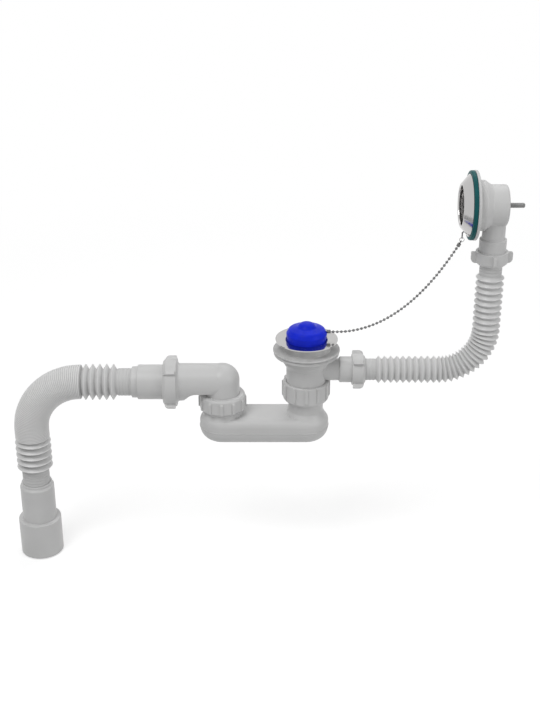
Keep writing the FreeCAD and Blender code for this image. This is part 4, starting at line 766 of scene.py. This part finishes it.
class BATHWASTE_OT_ball_chain(Operator):
    """Model one dimpled ball and one link, and hang copies of them in a catenary"""

    bl_idname = "bath_waste.ball_chain"
    bl_label = "Ball chain"

    def execute(self, context):
        sizes = context.scene.bath_waste_chain
        stations = self.stations(sizes)
        ball = self.model_ball(sizes)
        link = self.model_link(sizes, (stations[1] - stations[0]).length)
        pieces = []
        last = len(stations) - 1
        for index, here in enumerate(stations):
            before, after = stations[max(index - 1, 0)], stations[min(index + 1, last)]
            pieces.append(self.copy(ball, here, after - before))
            if index < last:
                pieces.append(self.copy(link, (here + after) / 2, after - here))
        for start in (ball, link):
            pick(start)
            bpy.ops.object.delete()
        pick(*pieces)
        bpy.ops.object.join()
        chain = context.object
        chain.name = chain.data.name = "ball_chain_links"
        settle(chain)
        smooth(chain, 50.0)
        finish_piece(chain, bpy.data.materials["chain_steel"], "grey_steel", "ball_chain")
        return {"FINISHED"}

    @staticmethod
    def stations(sizes):
        """Centres of the balls, spaced evenly along the catenary between the two ends."""
        first, last, slack = Vector(sizes.first), Vector(sizes.last), sizes.slack
        span, rise = last.x - first.x, last.z - first.z
        stretch = 2 * slack * math.sinh(span / (2 * slack))
        low_x = (first.x + last.x) / 2 - slack * math.asinh(rise / stretch)
        low_z = first.z - slack * (math.cosh((first.x - low_x) / slack) - 1)
        begin = slack * math.sinh((first.x - low_x) / slack)
        whole = math.hypot(stretch, rise)
        count = round(whole / sizes.pitch)
        spots = []
        for index in range(count + 1):
            angle = math.asinh((begin + whole * index / count) / slack)
            spots.append(Vector((low_x + slack * angle, 0,
                                 low_z + slack * (math.cosh(angle) - 1))))
        return spots

    @staticmethod
    def model_ball(sizes):
        """A hollow ball, pressed in where the links enter."""
        deselect()
        bpy.ops.mesh.primitive_uv_sphere_add(segments=16, ring_count=10, radius=sizes.ball / 2)
        ball = bpy.context.object
        ball.name = "ball"
        bpy.ops.object.mode_set(mode="EDIT")
        bpy.ops.mesh.select_all(action="DESELECT")
        bpy.ops.object.mode_set(mode="OBJECT")
        radius = sizes.ball / 2
        for side in (1, -1):
            for point in ball.data.vertices:
                point.select = point.co.z * side > radius * 0.99
            bpy.ops.object.mode_set(mode="EDIT")
            bpy.ops.transform.translate(value=(0, 0, -side * sizes.dimple * BALL_DENT))
            bpy.ops.mesh.select_all(action="DESELECT")
            bpy.ops.object.mode_set(mode="OBJECT")
        return ball

    @staticmethod
    def model_link(sizes, pitch):
        """A short rod with a waist, from inside one ball to inside the next."""
        deselect()
        half = pitch / 2 - sizes.ball / 2 + sizes.dimple * LINK_REACH
        bpy.ops.mesh.primitive_cylinder_add(vertices=10, radius=sizes.rod / 2, depth=half * 2)
        link = bpy.context.object
        link.name = "link"
        bpy.ops.object.mode_set(mode="EDIT")
        bpy.ops.mesh.select_all(action="SELECT")
        bpy.ops.mesh.bisect(plane_co=(0, 0, 0), plane_no=(0, 0, 1))
        bpy.ops.transform.resize(value=(LINK_WAIST, LINK_WAIST, 1.0),
                                 center_override=(0, 0, 0))
        bpy.ops.object.mode_set(mode="OBJECT")
        return link

    @staticmethod
    def copy(start, place, heading):
        """A copy with a mesh of its own, set in its place along the chain."""
        pick(start)
        bpy.ops.object.duplicate(linked=False)
        made = bpy.context.object
        turn = heading.to_track_quat("Z", "Y").to_matrix().to_4x4()
        made.matrix_world = Matrix.Translation(place) @ turn
        return made


class BATHWASTE_OT_split_ring(Operator):
    """Model the split ring as a wire of nearly two turns"""

    bl_idname = "bath_waste.split_ring"
    bl_label = "Split ring"

    def execute(self, context):
        sizes = context.scene.bath_waste_chain
        low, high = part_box("split_ring")
        centre = (low + high) / 2
        deselect()
        bpy.ops.mesh.primitive_circle_add(
            vertices=10, radius=sizes.wire / 2, fill_type="NGON",
            location=(sizes.ring / 2, 0, -sizes.turns * sizes.wire / 2),
            rotation=(math.pi / 2, 0, 0))
        ring = context.object
        ring.name = ring.data.name = "split_ring_wire"
        settle(ring)
        bpy.ops.object.mode_set(mode="EDIT")
        bpy.ops.mesh.select_all(action="SELECT")
        bpy.ops.mesh.spin(steps=int(RING_STEPS * sizes.turns), angle=2 * math.pi * sizes.turns,
                          center=(0, 0, 0), axis=(0, 0, 1), dupli=False,
                          use_normal_flip=False)
        bpy.ops.object.mode_set(mode="OBJECT")
        self.lift_turns(ring, sizes)
        bpy.ops.object.mode_set(mode="EDIT")
        bpy.ops.mesh.select_all(action="SELECT")
        bpy.ops.mesh.normals_make_consistent(inside=False)
        bpy.ops.object.mode_set(mode="OBJECT")
        ring.matrix_world = Matrix.Translation(centre) @ Matrix.Rotation(math.pi / 2, 4, "X")
        settle(ring)
        smooth(ring, 50.0)
        finish_piece(ring, bpy.data.materials["chain_steel"], "grey_steel", "split_ring")
        return {"FINISHED"}

    @staticmethod
    def lift_turns(ring, sizes):
        """Raise each slice of the wire above the last one, so that the turns lie side by side."""
        slices = int(RING_STEPS * sizes.turns) + 1
        around = len(ring.data.vertices) // slices
        if around * slices != len(ring.data.vertices):
            raise RuntimeError("the split ring's wire isn't a whole number of slices")
        for index, point in enumerate(ring.data.vertices):
            point.co.z += sizes.wire * RING_LIFT * (index // around) / RING_STEPS


class BATHWASTE_OT_screw_threads(Operator):
    """Cut the fine threads of the two fixing screws"""

    bl_idname = "bath_waste.screw_threads"
    bl_label = "Screw threads"

    def execute(self, context):
        sizes = context.scene.bath_waste_threads
        low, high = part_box("overflow_screw")
        self.thread(sizes, "overflow_screw_thread", Vector((low.x, 0, (low.z + high.z) / 2)),
                    high.x - low.x, Matrix.Rotation(math.pi / 2, 4, "Y"))
        low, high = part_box("waste_screw")
        self.thread(sizes, "waste_screw_thread",
                    Vector(((low.x + high.x) / 2, 0, high.z)), high.z - low.z,
                    Matrix.Rotation(math.pi, 4, "X"))
        return {"FINISHED"}

    @staticmethod
    def thread(sizes, name, head, reach, turn):
        """A ridge wound round the screw's core, from its plain shank to its tip."""
        turns = int((reach - sizes.plain - THREAD_TIP) / sizes.pitch)
        deselect()
        bpy.ops.mesh.primitive_circle_add(
            vertices=3, radius=sizes.pitch * 0.5, fill_type="NOTHING",
            location=(sizes.root / 2, 0, sizes.plain), rotation=(math.pi / 2, 0, 0))
        ridge = bpy.context.object
        ridge.name = ridge.data.name = name
        settle(ridge)
        root, crest = sizes.root / 2 - THREAD_SINK, sizes.crest / 2
        foot = sizes.pitch * THREAD_FOOT
        for point, (out, along) in zip(ridge.data.vertices,
                                       ((crest, 0.0), (root, foot), (root, -foot))):
            point.co = (out, 0, sizes.plain + THREAD_LEAD + along)
        apply_modifier(ridge, "SCREW", angle=2 * math.pi * turns, screw_offset=sizes.pitch * turns,
                       steps=sizes.steps * turns, render_steps=sizes.steps * turns,
                       use_merge_vertices=True, merge_threshold=1e-7)
        bpy.ops.object.mode_set(mode="EDIT")
        bpy.ops.mesh.select_all(action="DESELECT")
        bpy.ops.mesh.select_non_manifold()
        bpy.ops.mesh.edge_face_add()
        bpy.ops.mesh.select_all(action="SELECT")
        bpy.ops.mesh.normals_make_consistent(inside=False)
        bpy.ops.object.mode_set(mode="OBJECT")
        ridge.matrix_world = Matrix.Translation(head) @ turn
        settle(ridge)
        smooth(ridge, 40.0)
        finish_piece(ridge, bpy.data.materials["fixing_steel"], "fixing_steel")


class BATHWASTE_OT_finishes(Operator):
    """Give every CAD piece its finish"""

    bl_idname = "bath_waste.finishes"
    bl_label = "Finishes"

    def execute(self, context):
        tones = context.scene.bath_waste_finishes
        white = moulded_plastic("moulded_plastic", tones.plastic, ("Y", 0.0))
        trap = moulded_plastic("trap_plastic", tones.plastic, ("Z", -0.107),
                               gate=(-0.0478, 0.0, -0.1235))
        dress(PLASTIC_MOULDINGS, white)
        dress(("trap_body",), trap)
        dress(TEAL_SEALS, soft_rubber("teal_rubber", tones.seal, 0.42, 0.58))
        dress(("waste_gasket",), soft_rubber("pale_rubber", tones.plastic, 0.5, 0.65))
        dress(("plug",), soft_rubber("blue_rubber", tones.plug, 0.28, 0.4, 0.07))
        dress(("waste_cup",),
              spun_steel("waste_polish", tones.steel, (0, 0, 0), (0, 0, 0), (0, 0, 1)))
        dress(("overflow_cup",),
              spun_steel("overflow_polish", tones.steel, (0.1775, 0, 0.1563),
                         (0, math.pi / 2, 0), (1, 0, 0)))
        dress(FIXINGS, dull_steel("fixing_steel", tones.fixing, 0.32, 0.45))
        dress(SMALL_FITTINGS, dull_steel("chain_steel", tones.chain, 0.18, 0.3))
        return {"FINISHED"}


class BATHWASTE_PT_panel(Panel):
    """Lists the steps and the sizes"""

    bl_idname = "BATHWASTE_PT_panel"
    bl_label = "Bath waste and overflow"
    bl_space_type = "VIEW_3D"
    bl_region_type = "UI"
    bl_category = "Bath waste"

    def draw(self, context):
        layout = self.layout
        for step in OPERATORS:
            layout.operator(step.bl_idname)
        for title, name, kind in GROUPS:
            box = layout.box()
            box.label(text=title)
            group = getattr(context.scene, name)
            for prop in kind.__annotations__:
                box.prop(group, prop)


GROUPS = (
    ("Stage", "bath_waste_stage", BATHWASTE_PG_stage),
    ("Finishes", "bath_waste_finishes", BATHWASTE_PG_finishes),
    ("Overflow hose", "bath_waste_overflow_hose", BATHWASTE_PG_overflow_hose),
    ("Outlet hose", "bath_waste_outlet_hose", BATHWASTE_PG_outlet_hose),
    ("Chain", "bath_waste_chain", BATHWASTE_PG_chain),
    ("Threads", "bath_waste_threads", BATHWASTE_PG_threads),
)
OPERATORS = (
    BATHWASTE_OT_stage, BATHWASTE_OT_finishes, BATHWASTE_OT_overflow_hose,
    BATHWASTE_OT_outlet_hose, BATHWASTE_OT_ball_chain, BATHWASTE_OT_split_ring,
    BATHWASTE_OT_screw_threads,
)


def register():
    """Register the property groups, the operators and the panel."""
    for _, name, kind in GROUPS:
        bpy.utils.register_class(kind)
        setattr(bpy.types.Scene, name, PointerProperty(type=kind))
    for step in OPERATORS:
        bpy.utils.register_class(step)
    bpy.utils.register_class(BATHWASTE_PT_panel)


def unregister():
    """Take the classes out again."""
    bpy.utils.unregister_class(BATHWASTE_PT_panel)
    for step in reversed(OPERATORS):
        bpy.utils.unregister_class(step)
    for _, name, kind in reversed(GROUPS):
        delattr(bpy.types.Scene, name)
        bpy.utils.unregister_class(kind)


def main():
    """Build the scene in order."""
    register()
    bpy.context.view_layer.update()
    bpy.ops.bath_waste.stage()
    bpy.ops.bath_waste.finishes()
    bpy.ops.bath_waste.overflow_hose()
    bpy.ops.bath_waste.outlet_hose()
    bpy.ops.bath_waste.ball_chain()
    bpy.ops.bath_waste.split_ring()
    bpy.ops.bath_waste.screw_threads()


if __name__ == "__main__":
    main()
